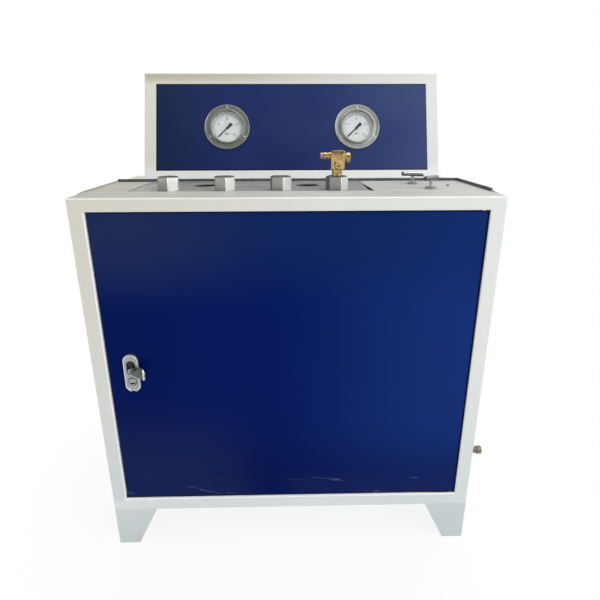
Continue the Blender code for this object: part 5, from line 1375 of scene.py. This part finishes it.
def stage_floor():
    """A pale floor: near the bench it keeps the shadow, and it clears to white with distance."""
    r = 30
    mesh = bpy.data.meshes.new("floor")
    mesh.from_pydata([(-r, -r, 0), (r, -r, 0), (r, r, 0), (-r, r, 0)], [], [(0, 1, 2, 3)])
    f = Finish("pale_floor", None, (0.90, 0.90, 0.895), 0.7, specular=0.1)
    node = f.new("VectorMath")
    node.operation = "LENGTH"
    away = f.fill(node, {0: f.place["Object"]})["Value"]
    path = f.new("LightPath").outputs
    seen = f.share(path["Is Camera Ray"], path["Is Transmission Ray"], path["Is Glossy Ray"], kind="MAXIMUM")
    white = f.share(seen, (away, 0.50, 1.05, 0.86, 1.0))
    mix = f.fill(f.new("MixShader"), {0: white, 1: f.shader.outputs[0], 2: f.new("Emission").outputs[0]})
    f.fill(f.tree.nodes["Material Output"], {"Surface": mix[0]})
    mesh.materials.append(f.material)
    added("floor", mesh)


def surroundings():
    """The world: white to the camera and through glass. Metal sees the same white behind the bench and to its right,
    and a dimmer room in front. Light comes from a soft room, brighter to the right, above and behind."""
    world = bpy.data.worlds.new("room")
    world.use_nodes = True
    bpy.context.scene.world = world
    room = Nodes(world.node_tree)
    maths = room.maths
    split = room.split(room.new("TexCoord").outputs["Generated"])

    def slope(level, across, deep, up, low, high):
        """A level that changes evenly with the direction, kept between two limits."""
        for axis, change in zip("XYZ", (across, deep, up)):
            level = maths("MULTIPLY_ADD", split[axis], change, level)
        return maths("MINIMUM", maths("MAXIMUM", level, low), high)

    path = room.new("LightPath").outputs
    seen = maths("MAXIMUM", path["Is Camera Ray"], path["Is Transmission Ray"])
    gloss = maths("MULTIPLY", path["Is Glossy Ray"], slope(0.50, 0.60, 0.75, 0.25, 0.22, 1.0))
    soft = slope(0.56, 0.20, 0.20, 0.34, 0.10, 1.2)
    lit = maths("MULTIPLY", maths("SUBTRACT", 1.0, path["Is Glossy Ray"]), soft)
    other = maths("MULTIPLY", maths("SUBTRACT", 1.0, seen), maths("ADD", gloss, lit))
    room.fill(room.tree.nodes["Background"], {"Color": (1, 1, 1, 1), "Strength": maths("ADD", seen, other)})


def lamp(name, place, height, size, power, colour):
    """A soft rectangle of light, aimed at a height on the bench's middle line."""
    light = bpy.data.lights.new(name, "AREA")
    light.shape = "RECTANGLE"
    light.size, light.size_y = size
    light.energy = power
    light.color = colour
    obj = added(name, light)
    obj.location = place
    obj.rotation_euler = (Vector((0, 0, height)) - Vector(place)).to_track_quat("-Z", "Y").to_euler()


def lights():
    """A cool window to the right, a weak warm room to the left and a soft ceiling."""
    lamp("window_right", (2.0, -1.75, 2.25), 0.8, (1.7, 1.7), 40, (0.96, 0.985, 1.0))
    lamp("room_left", (-2.4, -1.6, 1.5), 0.7, (1.8, 1.8), 7, (1.0, 0.985, 0.93))
    lamp("ceiling", (0.1, 0.2, 3.2), 0.9, (2.4, 2.0), 20, (1.0, 1.0, 0.99))


def camera():
    """The photograph's view: a short lens close to the bench, looking slightly down."""
    yaw, pitch, roll = 0.0223, 0.3405, -0.0022
    forward = Vector((math.sin(yaw) * math.cos(pitch), math.cos(yaw) * math.cos(pitch), -math.sin(pitch)))
    right = forward.cross(Vector((0, 0, 1))).normalized()
    up = right.cross(forward)
    right, up = right * math.cos(roll) + up * math.sin(roll), up * math.cos(roll) - right * math.sin(roll)
    data = bpy.data.cameras.new("camera")
    data.lens = 29.056
    data.sensor_width = 36
    obj = added("camera", data)
    turn = Matrix((right, up, -forward)).transposed().to_4x4()
    obj.matrix_world = Matrix.Translation((-0.0225, -1.3694, 1.1365)) @ turn
    bpy.context.scene.camera = obj


front_frame()
side_wall(-1)
side_wall(1)
feet()
worktop()
rear_deck()
edgings()
station_plate()
sockets()
door()
lock()
gauge_box()
for side, x in zip(("left", "right"), GAUGE_X):
    gauge_case(f"gauge_{side}", x)
    gauge_scale(f"gauge_{side}", x)
    gauge_pointer(f"gauge_{side}", side, x)
for valve in VALVES:
    needle_valve(*valve)
sample_valve()
inlet()
inner_parts()
stage_floor()
surroundings()
lights()
camera()
bpy.context.scene.view_settings.view_transform = "Standard"
